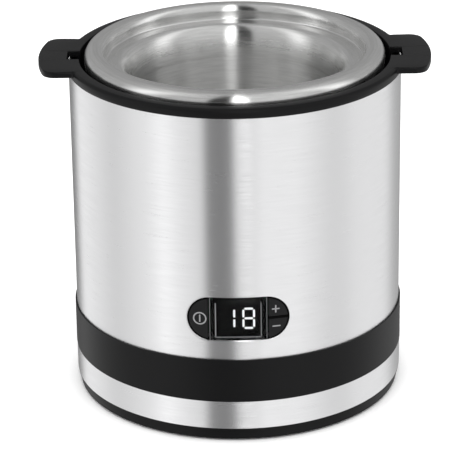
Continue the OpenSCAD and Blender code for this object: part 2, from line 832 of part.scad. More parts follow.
module gearbox_case() {
    hub_r = shaft_r + hub_wall;
    color(ivory) difference() {
        union() {
            translate([0, 0, case_z]) linear_extrude(gearbox_plate) train_2d(gearbox_wall);
            translate([0, 0, case_z]) linear_extrude(cover_z - case_z) difference() {
                train_2d(gearbox_wall);
                train_2d(0);
            }
            rod(hub_r, case_z - lower_hub_h, lower_hub_h + gearbox_plate + gear_clear - 0.5);
            translate(concat(idler_at, 0)) rod(idler_pin_r + 2, case_z, gearbox_plate + gear_clear - 0.5);
            around(lug_circle, lug_angles) difference() {
                rod(lug_r, cover_z - lug_t - 4, lug_t + 4);
                translate([-lug_circle, 0, 0]) rod(out_tip + gear_gap, 0, far);
            }
        }
        rod(bush_r + seat_gap, case_z - lower_hub_h - 1, far);
        translate(concat(idler_at, 0)) rod(idler_pin_r + pin_gap, case_z + 0.6, far);
        translate(concat(motor_at, 0)) rod(motor_shaft_r + 3, case_z - 1, 5);
        translate(concat(motor_at, 0)) around(motor_screw_circle, motor_screw_angles())
            rod(motor_screw_r + 0.2, case_z - 1, 5);
        around(lug_circle, lug_angles) rod(screw_r + 0.2, 0, far);
    }
}

// The motor's two screws lie inside the gearbox floor, across the line to the idler
function motor_screw_angles() = [motor_angle + 180 - 40, motor_angle + 180 + 40];

module gearbox_cover() {
    color(ivory) difference() {
        union() {
            translate([0, 0, cover_z + eps]) linear_extrude(gearbox_plate - eps) train_2d(gearbox_wall);
            around(lug_circle, lug_angles) rod(lug_r, cover_z + eps, gearbox_plate - eps);
        }
        rod(shaft_r + 1.5, cover_z - 1, far);
        translate(concat(idler_at, 0)) rod(idler_pin_r + pin_gap, cover_z - 1, far);
        around(lug_circle, lug_angles) rod(screw_r + 0.2, 0, far);
    }
}

module gearbox_screws() {
    head_z = cover_z - lug_t - 4 - 2;
    color(steel) around(lug_circle, lug_angles)
        screw(head_z - eps, gearbox_top + gearbox_drop + 0.8 - head_z - 2);
}

module idler_pin() {
    color(bright_steel) translate(concat(idler_at, 0))
        rod(idler_pin_r, case_z + 0.7, gearbox_top - case_z - 0.9);
}

module idler_gear() {
    color(ivory) translate(concat(idler_at, 0)) difference() {
        union() {
            translate([0, 0, wheel_z]) rotate([0, 0, motor_angle])
                gear(in_module, wheel_teeth, -addendum_shift, wheel_face);
            translate([0, 0, wheel_z + wheel_face - eps])
                rotate([0, 0, idler_angle + 180 + 180 / pinion_teeth])
                gear(out_module, pinion_teeth, addendum_shift, out_z + out_face + 0.5 - wheel_z - wheel_face);
            rod(idler_pin_r + 1.8, wheel_z - 0.2, 1);
        }
        rod(idler_pin_r + run_gap, 0, far);
    }
}

module output_gear() {
    color(ivory) difference() {
        union() {
            translate([0, 0, out_z]) rotate([0, 0, idler_angle])
                gear(out_module, out_teeth, -addendum_shift, out_face);
            rod(shaft_r + 3, out_z - 1.5, out_face + 2);
        }
        d_profile(run_gap, out_z - flat_play, out_face + 2 * flat_play);
        difference() {
            tube(out_module * out_teeth / 2 - 4, shaft_r + 4, out_z + out_face - 2, 3);
            for (i = [0:5]) rotate([0, 0, i * 60]) translate([0, -1, 0]) cube([far, 2, far]);
        }
    }
}

// The shaft's section with one flat, grown by a clearance
module d_profile(grow, z, h) {
    intersection() {
        rod(shaft_r + grow, z, h);
        translate([-far / 2, -far / 2, z]) cube([far / 2 + shaft_r - 0.6 + grow, far, h]);
    }
}

module drive_shaft() {
    low = case_z - lower_hub_h + 0.5;
    flat_low = out_z - 2;
    color(bright_steel) difference() {
        union() {
            rod(shaft_r, low, flat_low - low);
            d_profile(0, flat_low - eps, out_face + 3);
            rod(shaft_r, flat_low + out_face + 3 - eps, table_z - flat_low - out_face - 3);
            d_profile(0, table_z - 1, table_t + peg_h - 0.4);
        }
        tube(shaft_r + 1, shaft_r - 0.5, circlip_z(), 0.9);
        rod(1.25, table_top - 6, far);
    }
}

function circlip_z() = cover_z + gearbox_plate + 0.7;

module shaft_circlip() {
    color(steel) difference() {
        rod(shaft_r + 1.4, circlip_z() + 0.1, 0.7);
        rod(shaft_r - 0.45, circlip_z() - 1, 3);
        translate([0, -1.5, circlip_z() - 1]) cube([far, 3, 3]);
    }
}

module upper_bush() {
    color(brass) difference() {
        union() {
            rod(bush_r, well_z - 1.5, well_floor + 1.5 + eps);
            rod(shaft_r + 5, well_floor_top, bush_flange);
        }
        rod(shaft_r + run_gap, 0, far);
    }
}

module lower_bush() {
    color(brass) difference() {
        rod(bush_r, case_z - lower_hub_h, lower_hub_h + gearbox_plate + 2.5);
        rod(shaft_r + run_gap, case_z - lower_hub_h + 0.3, far);
    }
}

module thrust_washer() {
    color(ivory) difference() {
        rod(shaft_r + 4.5, washer_z, washer_t - eps);
        rod(shaft_r + run_gap, 0, far);
    }
}

module turntable() {
    hub_h = peg_h - 0.8;
    color(dark) difference() {
        union() {
            rod(table_r, table_z, table_t);
            rod(shaft_r + 3.5, table_z, table_t + hub_h);
            around(peg_circle, peg_angles) rod(peg_r, table_z, table_t + peg_h);
        }
        d_profile(run_gap, table_z - 1, table_t + peg_h - 0.2);
        rod(1.7, table_z, far);
        around(24, [60, 180, 300]) rod(4, table_z - 1, table_t + 2);
    }
}

module turntable_screw() {
    top = table_top + peg_h - 0.8;
    color(steel) translate([0, 0, 2 * top + 1.4]) mirror([0, 0, 1])
        screw(top, 6, shank_r = 1.2, head_r = 3, head_h = 1.4);
}

// ---------- motor ----------

module at_motor() { translate(concat(motor_at, 0)) children(); }

module motor_can() {
    color(steel) at_motor() difference() {
        rod(motor_r, motor_z + motor_cap_t, motor_h - motor_cap_t - eps);
        rod(motor_r - motor_wall, motor_z, motor_h - 2);
        rod(motor_shaft_r + run_gap, 0, far);
        around(motor_screw_circle, motor_screw_angles()) rod(motor_screw_r + eps, motor_top - 5, 10);
    }
}

module motor_magnets() {
    color([0.2, 0.2, 0.22]) at_motor() intersection() {
        tube(
            motor_r - motor_wall - seat_gap, armature_r + magnet_gap,
            motor_z + motor_cap_t + 3, motor_h - motor_cap_t - 7);
        for (a = [motor_angle + 90, motor_angle - 90]) rotate([0, 0, a]) linear_extrude(far)
            polygon([[0, 0], [motor_r, -motor_r], [motor_r, motor_r]]);
    }
}

module motor_end_cap() {
    color(dark) at_motor() difference() {
        union() {
            rod(motor_r - motor_wall - seat_gap, motor_z, motor_cap_t + 2);
            rod(motor_r, motor_z, motor_cap_t - seat_gap);
            for (s = [-1, 1]) translate([s * 8 - 0.4, -1.6, motor_z - 4]) cube([0.8, 3.2, 4 + eps]);
        }
        rod(motor_shaft_r + run_gap, motor_z + 1, far);
    }
}

module motor_armature() {
    core_z = motor_z + motor_cap_t + armature_gap;
    core_h = motor_h - motor_cap_t - armature_gap - 6;
    color(copper) at_motor() difference() {
        union() {
            rod(armature_r, core_z + 2, core_h - 4);
            rod(armature_r - 2, core_z, core_h);
            rod(3.5, core_z - 2, 4);
        }
        rod(motor_shaft_r + pin_gap, 0, far);
        for (i = [0:4]) rotate([0, 0, i * 72]) translate([armature_r, 0, core_z - 1])
            cube([3, 1.6, 2 * core_h + 4], center = true);
    }
}

module motor_shaft() {
    low = motor_z + 1.2;
    color(bright_steel) at_motor() rod(motor_shaft_r, low, wheel_z + wheel_face + 1 - low);
}

module motor_pinion() {
    color(brass) at_motor() difference() {
        translate([0, 0, wheel_z - 0.5]) rotate([0, 0, motor_angle + 180 + 180 / pinion_teeth])
            gear(in_module, pinion_teeth, addendum_shift, wheel_face + 1);
        rod(motor_shaft_r + pin_gap, 0, far);
    }
}

module motor_screws() {
    color(steel) at_motor() around(motor_screw_circle, motor_screw_angles())
        translate([0, 0, 2 * case_floor_top + motor_head_h + eps]) mirror([0, 0, 1])
            screw(case_floor_top, gearbox_plate + 3, motor_screw_r, motor_head_r, motor_head_h);
}

// ---------- freezer bowl ----------

// Points along an arc from angle a0 to a1
function arc(centre, r, a0, a1, steps = 10) =
    [for (i = [0:steps]) let (a = a0 + (a1 - a0) * i / steps) centre + r * [cos(a), sin(a)]];

function reversed(points) = [for (i = [len(points) - 1:-1:0]) points[i]];

// The pan's floor and wall up to the fill line, at depth t below the visible surface
function pan_lower(t) = concat(
    [[0, pan_z - t]],
    arc([pan_floor_r - pan_corner, pan_z + pan_corner], pan_corner + t, -90, 0),
    [[pan_r + t, fill_z]]
);

// The pan's neck, lid seat and domed rim, at depth t below the visible surface
function pan_upper(t) = concat(
    arc([seat_inner_r, seat_z - neck_blend], neck_blend - t, 180, 90, 14),
    [[seat_outer_r + t, seat_z - t]],
    arc([crest_r, crest_z - rim_inner_round], rim_inner_round - t, 180, 90, 12),
    arc([crest_r, crest_z - rim_outer_round], rim_outer_round - t, 90, 0, 16),
    [[bowl_r - t, rim_low_z]]
);

// The outer shell from the pocket over the drive socket to its top edge, at depth t inside its outer face
function cup(t, top) = concat(
    [[0, pocket_top + t], [pocket_r + t, pocket_top + t], [pocket_r + t, bowl_z + t]],
    arc([shell_cup_r - bowl_corner, bowl_z + bowl_corner], bowl_corner - t, -90, 0),
    [[shell_cup_r - t, top]]
);

module bowl_inner_pan() {
    color(bright_steel) rotate_extrude($fn = 180)
        polygon(concat(
            pan_lower(0), pan_upper(0), reversed(concat(pan_lower(bowl_sheet), pan_upper(bowl_sheet)))));
}

module bowl_outer_shell() {
    color(steel) rotate_extrude($fn = 180)
        polygon(concat(cup(0, cup_top), reversed(cup(bowl_sheet, cup_top))));
}

module bowl_coolant() {
    depth = bowl_sheet + coolant_gap;
    color([0.6, 0.75, 0.85]) rotate_extrude($fn = 120)
        polygon(concat(cup(depth, fill_z), reversed(pan_lower(depth))));
}

module bowl_socket() {
    color(dark) difference() {
        rod(socket_r, socket_z, socket_h);
        around(peg_circle, peg_angles) rod(peg_r + peg_gap, socket_z - 1, peg_h + 2);
        rod(shaft_r + 3.5 + peg_gap, socket_z - 1, peg_h + 2.2);
    }
}

module bowl_seam_ring() {
    color(dark) tube(
        shell_cup_r - bowl_sheet - seat_gap, seat_outer_r + bowl_sheet + seat_gap,
        seat_z - bowl_sheet, cup_top - seat_z + bowl_sheet);
}

base_tray();
rubber_feet();
base_screws();
lower_steel_ring();
band_ring();
cord_gland();
housing_shell();
collar();
well_liner();
panel_bezel();
display_window();
display_module();
display_digits();
control_board();
key_switches();
panel_ribbon();
power_key();
plus_key();
minus_key();
power_board();
transformer();
capacitors();
terminal_block();
board_screws();
gearbox_case();
gearbox_cover();
gearbox_screws();
idler_pin();
idler_gear();
output_gear();
drive_shaft();
upper_bush();
lower_bush();
shaft_circlip();
thrust_washer();
turntable();
turntable_screw();
motor_can();
motor_magnets();
motor_end_cap();
motor_screws();
motor_armature();
motor_shaft();
motor_pinion();
bowl_outer_shell();
bowl_inner_pan();
bowl_coolant();
bowl_socket();
bowl_seam_ring();
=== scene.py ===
"""A compact frozen-dessert maker without its lid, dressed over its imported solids.

A double-walled steel bowl stands in a black collar with two slotted ears, on a brushed-steel
body with a capsule-shaped key panel, a black band, a lower steel ring and a black base.
"""

import json
import logging
import math
from dataclasses import dataclass, field
from enum import Enum
from functools import cache

import bmesh
import bpy
import numpy as np
from mathutils import Matrix, Vector


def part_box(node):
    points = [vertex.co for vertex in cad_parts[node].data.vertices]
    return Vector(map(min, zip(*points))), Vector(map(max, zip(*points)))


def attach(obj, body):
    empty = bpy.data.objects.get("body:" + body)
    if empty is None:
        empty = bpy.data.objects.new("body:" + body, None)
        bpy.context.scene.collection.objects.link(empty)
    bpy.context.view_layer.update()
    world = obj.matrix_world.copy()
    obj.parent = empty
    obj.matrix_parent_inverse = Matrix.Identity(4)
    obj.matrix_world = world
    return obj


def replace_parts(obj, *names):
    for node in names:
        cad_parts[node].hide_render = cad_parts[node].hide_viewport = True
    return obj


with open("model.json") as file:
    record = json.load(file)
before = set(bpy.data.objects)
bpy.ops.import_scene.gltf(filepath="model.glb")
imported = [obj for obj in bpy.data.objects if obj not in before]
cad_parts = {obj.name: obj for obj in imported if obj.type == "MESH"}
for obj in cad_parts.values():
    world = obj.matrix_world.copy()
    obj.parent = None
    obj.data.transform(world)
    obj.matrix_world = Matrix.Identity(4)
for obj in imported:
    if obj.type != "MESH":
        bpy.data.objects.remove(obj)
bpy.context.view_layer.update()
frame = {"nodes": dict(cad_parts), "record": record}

logging.basicConfig(level=logging.INFO, format="%(message)s")
LOG = logging.getLogger("dessert_maker")

Array = np.ndarray
MM = 0.001
WELD = 2e-7


# ---------- surfaces ----------


def arc(centre: tuple[float, float], radius: float, start: float, stop: float, steps: int) -> Array:
    """Points centre + radius (cos a, sin a), with a going evenly from start to stop degrees."""
    angles = np.radians(np.linspace(start, stop, steps + 1))
    return np.array(centre) + radius * np.stack([np.cos(angles), np.sin(angles)], 1)


def rectangle(half_w: float, half_h: float, round_off: float, steps: int) -> Array:
    """A rectangle about (0, 0) with round corners, anticlockwise: an arc in each quadrant."""
    x, z = half_w - round_off, half_h - round_off
    return np.concatenate([
        arc((side * x, end * z), round_off, start, start + 90, steps)
        for side, end, start in ((1, -1, -90), (1, 1, 0), (-1, 1, 90), (-1, -1, 180))
    ])


def stepped(loop: Array, step: float) -> Array:
    """Cuts a closed loop's sides into even steps that are no longer than a length.

    Args:
        loop: Points (n, 2).
        step: The longest step.

    Returns:
        The loop's points with the new ones between them.
    """
    following = np.roll(loop, -1, 0)
    counts = np.ceil(np.linalg.norm(following - loop, axis=1) / step).astype(int)
    return np.concatenate([
        np.linspace(here, there, count, endpoint=False)
        for here, there, count in zip(loop, following, counts)
    ])


def quarter_bend(steps: int) -> list[tuple[float, float]]:
    """Points (1 - cos a, 1 - sin a) for a from 0 to 90 degrees: a rounded edge from side to top."""
    return [(1 - math.cos(a), 1 - math.sin(a)) for a in np.radians(np.linspace(0, 90, steps + 1))]


def wrapped(radius: Array | float, flat: Array) -> Array:
    """Lays points (x, z) on a cylinder about the Z axis: y = -sqrt(radius^2 - x^2)."""
    x, z = flat[..., 0], flat[..., 1]
    return np.stack([x, -np.sqrt(np.square(radius) - np.square(x)), z], -1)


def facing(flat: Array, distance: float) -> Array:
    """Stands points (x, z) in a plane in front of the axis: y = -distance."""
    return np.insert(flat, 1, -distance, axis=1)


def raised(plan: Array, height: Array | float) -> Array:
    """Lifts points (x, y) to a height, one for all or one for each point."""
    return np.insert(plan, 2, height, axis=1)


def outward(loop: Array) -> Array:
    """Unit normals of a closed loop that runs anticlockwise: its central difference turned right.

    Args:
        loop: Points (n, 2).

    Returns:
        Normals (n, 2).
    """
    run = np.roll(loop, -1, 0) - np.roll(loop, 1, 0)
    run /= np.linalg.norm(run, axis=1, keepdims=True)
    return np.stack([run[:, 1], -run[:, 0]], 1)


def placed(name: str, data: bpy.types.ID) -> bpy.types.Object:
    """Makes an object of some data and puts it in the scene."""
    thing = bpy.data.objects.new(name, data)
    bpy.context.scene.collection.objects.link(thing)
    return thing


@dataclass
class Form:
    """Patches of quads gathered before they become one mesh, in millimetres.

    Attributes:
        name: The piece's name.
        points: The patches' points.
        faces: The patches' corner numbers.
    """

    name: str
    points: list[Array] = field(default_factory=list)
    faces: list[Array] = field(default_factory=list)

    def grid(
        self, rows: Array | list[Array], loop_rows: bool = False, closed: bool = True
    ) -> "Form":
        """Adds a grid of quads between neighbouring rows and columns of points.

        Args:
            rows: Points (rows, columns, 3).
            loop_rows: Whether the last row joins the first.
            closed: Whether the last column joins the first.

        Returns:
            This form.
        """
        rows = np.asarray(rows)
        count, across = rows.shape[:2]
        spans = np.arange(count - (not loop_rows)), np.arange(across - (not closed))
        row, column = np.meshgrid(*spans, indexing="ij")
        below, beside = (row + 1) % count, (column + 1) % across
        base = sum(len(p) for p in self.points)
        corners = (row, column), (below, column), (below, beside), (row, beside)
        numbers = np.stack([a * across + b for a, b in corners], -1)
        self.points.append(rows.reshape(-1, 3))
        self.faces.append(base + numbers.reshape(-1, 4))
        return self

    def turned(self, profile: Array, segments: int) -> "Form":
        """Turns an open profile about the Z axis: (r cos a, r sin a, z).

        Args:
            profile: The profile's points (radius, z).
            segments: How many steps a full turn has.

        Returns:
            This form.
        """
        angle = np.linspace(0, 2 * np.pi, segments, endpoint=False)
        radius, z = profile[:, :1], profile[:, 1:]
        rows = np.stack([radius * np.cos(angle), radius * np.sin(angle), z + 0 * angle], -1)
        return self.grid(rows)

    def pad(
        self, outline: Array, middle: tuple[float, float], radius: float, depth: float, edge: float
    ) -> "Form":
        """Adds a closed plate that follows a cylinder about the axis, its front edge rounded.

        Args:
            outline: Its outline (x, z), anticlockwise.
            middle: A point inside, which sees the whole outline.
            radius: Radius of its front face.
            depth: How thick it is.
            edge: Rounding of its front edge.

        Returns:
            This form.
        """
        normal, centre = outward(outline), np.broadcast_to(np.array(middle), outline.shape)
        rows = list(wrapped(radius - depth, np.linspace(centre, outline, 5)))
        bends = quarter_bend(4)
        rows += [wrapped(radius - edge * b, outline - normal * edge * a) for a, b in bends]
        rows += list(wrapped(radius, np.linspace(outline - normal * edge, centre, 9)[1:]))
        return self.grid(rows)

    def slab(self, outline: Array, near: float, far: float) -> "Form":
        """Adds a flat closed slab between two distances from the axis, in front of the middle.

        Args:
            outline: Its outline (x, z), convex.
            near: Distance of its back from the axis.
            far: Distance of its front.

        Returns:
            This form.
        """
        middle = outline.mean(0) + 0 * outline
        loops = (middle, near), (outline, near), (outline, far), (middle, far)
        return self.grid([facing(loop, distance) for loop, distance in loops])

    def piece(self, body: str, slot: str, finish: "Finish", sharp: float = 40) -> bpy.types.Object:
        """Joins the patches into one closed mesh with faces outwards, and puts it on a body.

        Args:
            body: The body that the piece rides on.
            slot: The record's material slot; not used.
            finish: The finish that it wears.
            sharp: The angle past which an edge is drawn sharp, in degrees.

        Returns:
            The new object.
        """
        mesh = bpy.data.meshes.new(self.name)
        points, faces = np.concatenate(self.points) * MM, np.concatenate(self.faces)
        mesh.from_pydata(points.tolist(), [], faces.tolist())
        shape = bmesh.new()
        shape.from_mesh(mesh)
        bmesh.ops.remove_doubles(shape, verts=shape.verts, dist=WELD)
        bmesh.ops.dissolve_degenerate(shape, edges=shape.edges, dist=WELD / 2)
        bmesh.ops.recalc_face_normals(shape, faces=shape.faces)
        shape.to_mesh(mesh)
        shape.free()
        mesh.polygons.foreach_set("use_smooth", np.ones(len(mesh.polygons), bool))
        mesh.set_sharp_from_angle(angle=math.radians(sharp))
        mesh.materials.append(finish.material())
        piece = placed(self.name, mesh)
        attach(piece, body)
        LOG.info("%s: %d faces on %s", self.name, len(mesh.polygons), body)
        return piece


# ---------- finishes ----------

Colour = tuple[float, float, float]
Socket = bpy.types.NodeSocket


def shade(*screen: int) -> Colour:
    """The linear colour of a screen's red, green and blue, 0 to 255 each, by the sRGB curve."""
    share = np.array(screen) / 255
    curve = np.where(share <= 0.04045, share / 12.92, ((share + 0.055) / 1.055) ** 2.4)
    return tuple(curve.tolist())


class Nodes:
    """A node tree that is put together one call at a time."""

    def __init__(self, owner: bpy.types.Material | bpy.types.World) -> None:
        """Turns on the owner's tree, empties it and keeps it."""
        owner.use_nodes = True
        self.tree = owner.node_tree
        self.tree.nodes.clear()

    def add(
        self, kind: str, inputs: dict[str | int, object] | None = None, **settings: object
    ) -> bpy.types.Node:
        """Adds a node.

        Args:
            kind: The node's type name.
            inputs: What goes into its sockets: values, or other nodes' output sockets.
            settings: The node's own properties.

        Returns:
            The node.
        """
        node = self.tree.nodes.new(kind)
        for key, value in settings.items():
            setattr(node, key, value)
        self.feed(node, inputs or {})
        return node

    def feed(self, node: bpy.types.Node, inputs: dict[str | int, object]) -> None:
        """Puts values into a node's sockets, or links other nodes' output sockets to them.

        Args:
            node: The node.
            inputs: What goes into which socket.
        """
        for key, value in inputs.items():
            if isinstance(value, Socket):
                self.tree.links.new(value, node.inputs[key])
            else:
                node.inputs[key].default_value = value

    def math(self, operation: str, *values: object) -> Socket:
        """One arithmetic step, returned as its output socket."""
        return self.add("ShaderNodeMath", dict(enumerate(values)), operation=operation).outputs[0]

    def spread(self, value: object, low: float, high: float) -> Socket:
        """Maps a value from 0..1 to low..high."""
        return self.math("MULTIPLY_ADD", value, high - low, low)

    def mixed(self, share: object, first: Colour, second: Colour) -> Socket:
        """A colour between two, by a share from 0 to 1."""
        sockets = {0: share, 6: (*first, 1), 7: (*second, 1)}
        return self.add("ShaderNodeMix", sockets, data_type="RGBA").outputs[2]


@dataclass(frozen=True)
class Finish:
    """A finish that is the same in every direction, with a fine moulded or cast grain.

    Attributes:
        name: The material's name.
        colour: Its linear colour.
        roughness: Its mean roughness.
        metallic: 1 for metal.
        specular: Strength of the clear reflection, 0.5 for common plastic.
        grain: How many grains there are in a millimetre.
        relief: Height of the grain in millimetres.
        uneven: How far the roughness wanders.
        mottle: How far the colour darkens in the grain.
    """

    name: str
    colour: Colour
    roughness: float = 0.45
    metallic: float = 0.0
    specular: float = 0.5
    grain: float = 2.0
    relief: float = 0.0
    uneven: float = 0.06
    mottle: float = 0.06

    @cache
    def material(self) -> bpy.types.Material:
        """The finish's material, built the first time that it is asked for."""
        material = bpy.data.materials.new(self.name)
        nodes = Nodes(material)
        nodes.add("ShaderNodeOutputMaterial", {"Surface": self.surface(nodes).outputs[0]})
        return material

    def pattern(self, nodes: Nodes) -> Socket:
        """The grain: even noise on object coordinates."""
        place = nodes.add("ShaderNodeTexCoord").outputs["Object"]
        sockets = {"Vector": place, "Scale": self.grain / MM, "Detail": 3.0}
        return nodes.add("ShaderNodeTexNoise", sockets).outputs[0]

    def surface(self, nodes: Nodes) -> bpy.types.Node:
        """The shader: colour, roughness and relief follow the pattern.

        Args:
            nodes: The tree that it is built in.

        Returns:
            The shader node.
        """
        pattern = self.pattern(nodes)
        dark = tuple(c * (1 - self.mottle) for c in self.colour)
        low, high = self.roughness - self.uneven, self.roughness + self.uneven
        shader = nodes.add("ShaderNodeBsdfPrincipled", {
            "Base Color": nodes.mixed(pattern, dark, self.colour),
            "Roughness": nodes.spread(pattern, low, high),
            "Metallic": self.metallic,
            "Specular IOR Level": self.specular,
        })
        if self.relief:
            bump = nodes.add("ShaderNodeBump", {"Height": pattern, "Distance": self.relief * MM})
            nodes.feed(shader, {"Normal": bump.outputs[0]})
        return shader


@dataclass(frozen=True)
class Brushed(Finish):
    """Steel brushed or turned round the Z axis, so that its streaks follow the circumference.

    Attributes:
        along: How many streaks follow one another in a radian.
        directed: How much wider the gloss spreads across the streaks.
    """

    metallic: float = 1.0
    along: float = 5.0
    directed: float = 1.0

    def around(self, nodes: Nodes) -> tuple[Socket, ...]:
        """Radius, height, cosine and sine of the place on the object, about the Z axis."""
        place = nodes.add("ShaderNodeTexCoord").outputs["Object"]
        axes = nodes.add("ShaderNodeSeparateXYZ", {0: place}).outputs
        square = nodes.math("MULTIPLY", axes[1], axes[1])
        squares = nodes.math("MULTIPLY_ADD", axes[0], axes[0], square)
        radius = nodes.math("MAXIMUM", nodes.math("SQRT", squares), 0.01 * MM)
        return radius, axes[2], *(nodes.math("DIVIDE", axes[n], radius) for n in (0, 1))

    def pattern(self, nodes: Nodes) -> Socket:
        """The streaks: noise that changes fast with radius and height and slowly round the axis."""
        radius, height, cosine, sine = self.around(nodes)
        across = self.grain / MM
        scaled = [(radius, across), (height, across), (cosine, self.along), (sine, self.along)]
        *place, last = [nodes.math("MULTIPLY", value, scale) for value, scale in scaled]
        vector = nodes.add("ShaderNodeCombineXYZ", dict(enumerate(place)))
        sockets = {"Vector": vector.outputs[0], "W": last}
        sockets |= {"Scale": 1.0, "Detail": 3.0, "Roughness": 0.65}
        return nodes.add("ShaderNodeTexNoise", sockets, noise_dimensions="4D").outputs[0]

    def surface(self, nodes: Nodes) -> bpy.types.Node:
        """The shader, with its gloss turned to follow the streaks."""
        shader = super().surface(nodes)
        cosine, sine = self.around(nodes)[2:]
        across = nodes.math("MULTIPLY", sine, -1.0)
        tangent = nodes.add("ShaderNodeCombineXYZ", {0: across, 1: cosine, 2: 0.0})
        turned = nodes.add(
            "ShaderNodeVectorTransform", {0: tangent.outputs[0]},
            vector_type="VECTOR", convert_from="OBJECT", convert_to="WORLD",
        )
        nodes.feed(shader, {"Anisotropic": self.directed, "Anisotropic Rotation": 0.25})
        nodes.feed(shader, {"Tangent": turned.outputs[0]})
        return shader


@dataclass(frozen=True)
class Drawn(Brushed):
    """Turned steel whose gloss spreads wider below a height, where the sheet was drawn deep.

    Attributes:
        deep: How much rougher it is there.
        wall_top: Height in millimetres below which it is so.
        blend: Height over which it changes, in millimetres.
    """

    deep: float = 0.08
    wall_top: float = 152.0
    blend: float = 12.0

    def surface(self, nodes: Nodes) -> bpy.types.Node:
        """The shader, with the drawn wall's wider gloss."""
        shader = super().surface(nodes)
        height = self.around(nodes)[1]
        low, high = self.wall_top * MM, (self.wall_top + self.blend) * MM
        extra = nodes.add("ShaderNodeMapRange", {0: height, 1: low, 2: high, 3: self.deep, 4: 0.0})
        grain = shader.inputs["Roughness"].links[0].from_socket
        nodes.feed(shader, {"Roughness": nodes.math("ADD", grain, extra.outputs[0])})
        return shader


@dataclass(frozen=True)
class Clear(Finish):
    """Clear moulded plastic with a reflection-free coating.

    Attributes:
        bend: Its index of refraction, low for the coating's faint reflection.
    """

    roughness: float = 0.02
    bend: float = 1.14

    def surface(self, nodes: Nodes) -> bpy.types.Node:
        """The shader: a clear body."""
        return nodes.add("ShaderNodeBsdfPrincipled", {
            "Base Color": (*self.colour, 1),
            "Roughness": self.roughness,
            "Transmission Weight": 1.0,
            "IOR": self.bend,
        })


@dataclass(frozen=True)
class Lit(Finish):
    """A lit segment.

    Attributes:
        strength: How bright it is, 1 for white.
    """

    strength: float = 0.95

    def surface(self, nodes: Nodes) -> bpy.types.Node:
        """The shader: light of its own over a plain body."""
        return nodes.add("ShaderNodeBsdfPrincipled", {
            "Base Color": (0.1, 0.1, 0.1, 1),
            "Roughness": self.roughness,
            "Emission Color": (*self.colour, 1),
            "Emission Strength": self.strength,
        })


BODY_STEEL = Brushed(
    "brushed_body_steel", shade(234, 234, 235), 0.24, grain=1.1, mottle=0.02, uneven=0.10
)
BOWL_STEEL = Drawn(
    "turned_bowl_steel", shade(243, 243, 242), 0.22, grain=1.0, mottle=0.34, uneven=0.06, along=4.0
)
SHELL_PLASTIC = Finish("black_shell_plastic", shade(15, 15, 16), 0.4, specular=0.16, relief=0.01)
KEY_PLASTIC = Finish("black_key_plastic", shade(29, 29, 30), 0.5, specular=0.16, relief=0.01)
DARK_PLASTIC = Finish("charcoal_plastic", shade(34, 34, 36), 0.5, specular=0.4, relief=0.01)
DISPLAY_BLACK = Finish("display_black", shade(5, 5, 5), 0.6, specular=0.06)
MARK_PRINT = Finish("printed_mark", shade(168, 168, 170), 0.5, specular=0.3)
# painted glints: a grey that stands in for light caught in the window's clear edges
PAINTED_GLINT = Finish("painted_edge_glint", shade(140, 141, 143), 0.3, specular=0.3)
WINDOW = Clear("window_acrylic", (0.92, 0.94, 0.96))
SEGMENT = Lit("lit_segment", (1.0, 1.0, 1.0))

NODE_FINISHES = {
    "brushed_steel": BODY_STEEL,
    "bowl_steel": BOWL_STEEL,
    "black_plastic": SHELL_PLASTIC,
    "key_plastic": KEY_PLASTIC,
    "clear_window": WINDOW,
    "lit_segments": SEGMENT,
    "dark_plastic": DARK_PLASTIC,
    "rubber": Finish("black_rubber", shade(24, 24, 24), 0.75, specular=0.3, relief=0.02),
    "zinc_steel": Finish("zinc_plated_steel", shade(186, 188, 192), 0.35, 1.0, grain=0.8),
    "ground_steel": Finish("ground_shaft_steel", shade(200, 200, 202), 0.2, 1.0, grain=3.0),
    "brass": Finish("sintered_brass", shade(196, 158, 92), 0.4, 1.0),
    "acetal": Finish("ivory_acetal", shade(226, 220, 200), 0.4),
    "circuit_board": Finish("board_laminate", shade(26, 92, 52), 0.35, grain=0.6, mottle=0.2),
    "ribbon": Finish("flat_cable", shade(150, 152, 156), 0.5),
    "copper_winding": Finish("lacquered_copper", shade(176, 96, 52), 0.35, 1.0, mottle=0.3),
    "capacitor_sleeve": Finish("sleeve_film", shade(30, 42, 92), 0.35),
    "coolant": Finish("coolant_gel", shade(150, 190, 214), 0.3),
}

OWN_FINISHES = {"display_module": DISPLAY_BLACK, "panel_bezel": DISPLAY_BLACK}


def dress_nodes() -> None:
    """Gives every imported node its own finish, or else that of its material slot in the record."""
    slots = {part["node"]: part["material_slot"] for part in frame["record"]["subparts"]}
    for name, node in frame["nodes"].items():
        finish = OWN_FINISHES.get(name, NODE_FINISHES[slots[name]])
        for material_slot in node.material_slots:
            material_slot.material = finish.material()
        LOG.info("%s: packed node in %s", name, slots[name])


# ---------- the steel bowl ----------


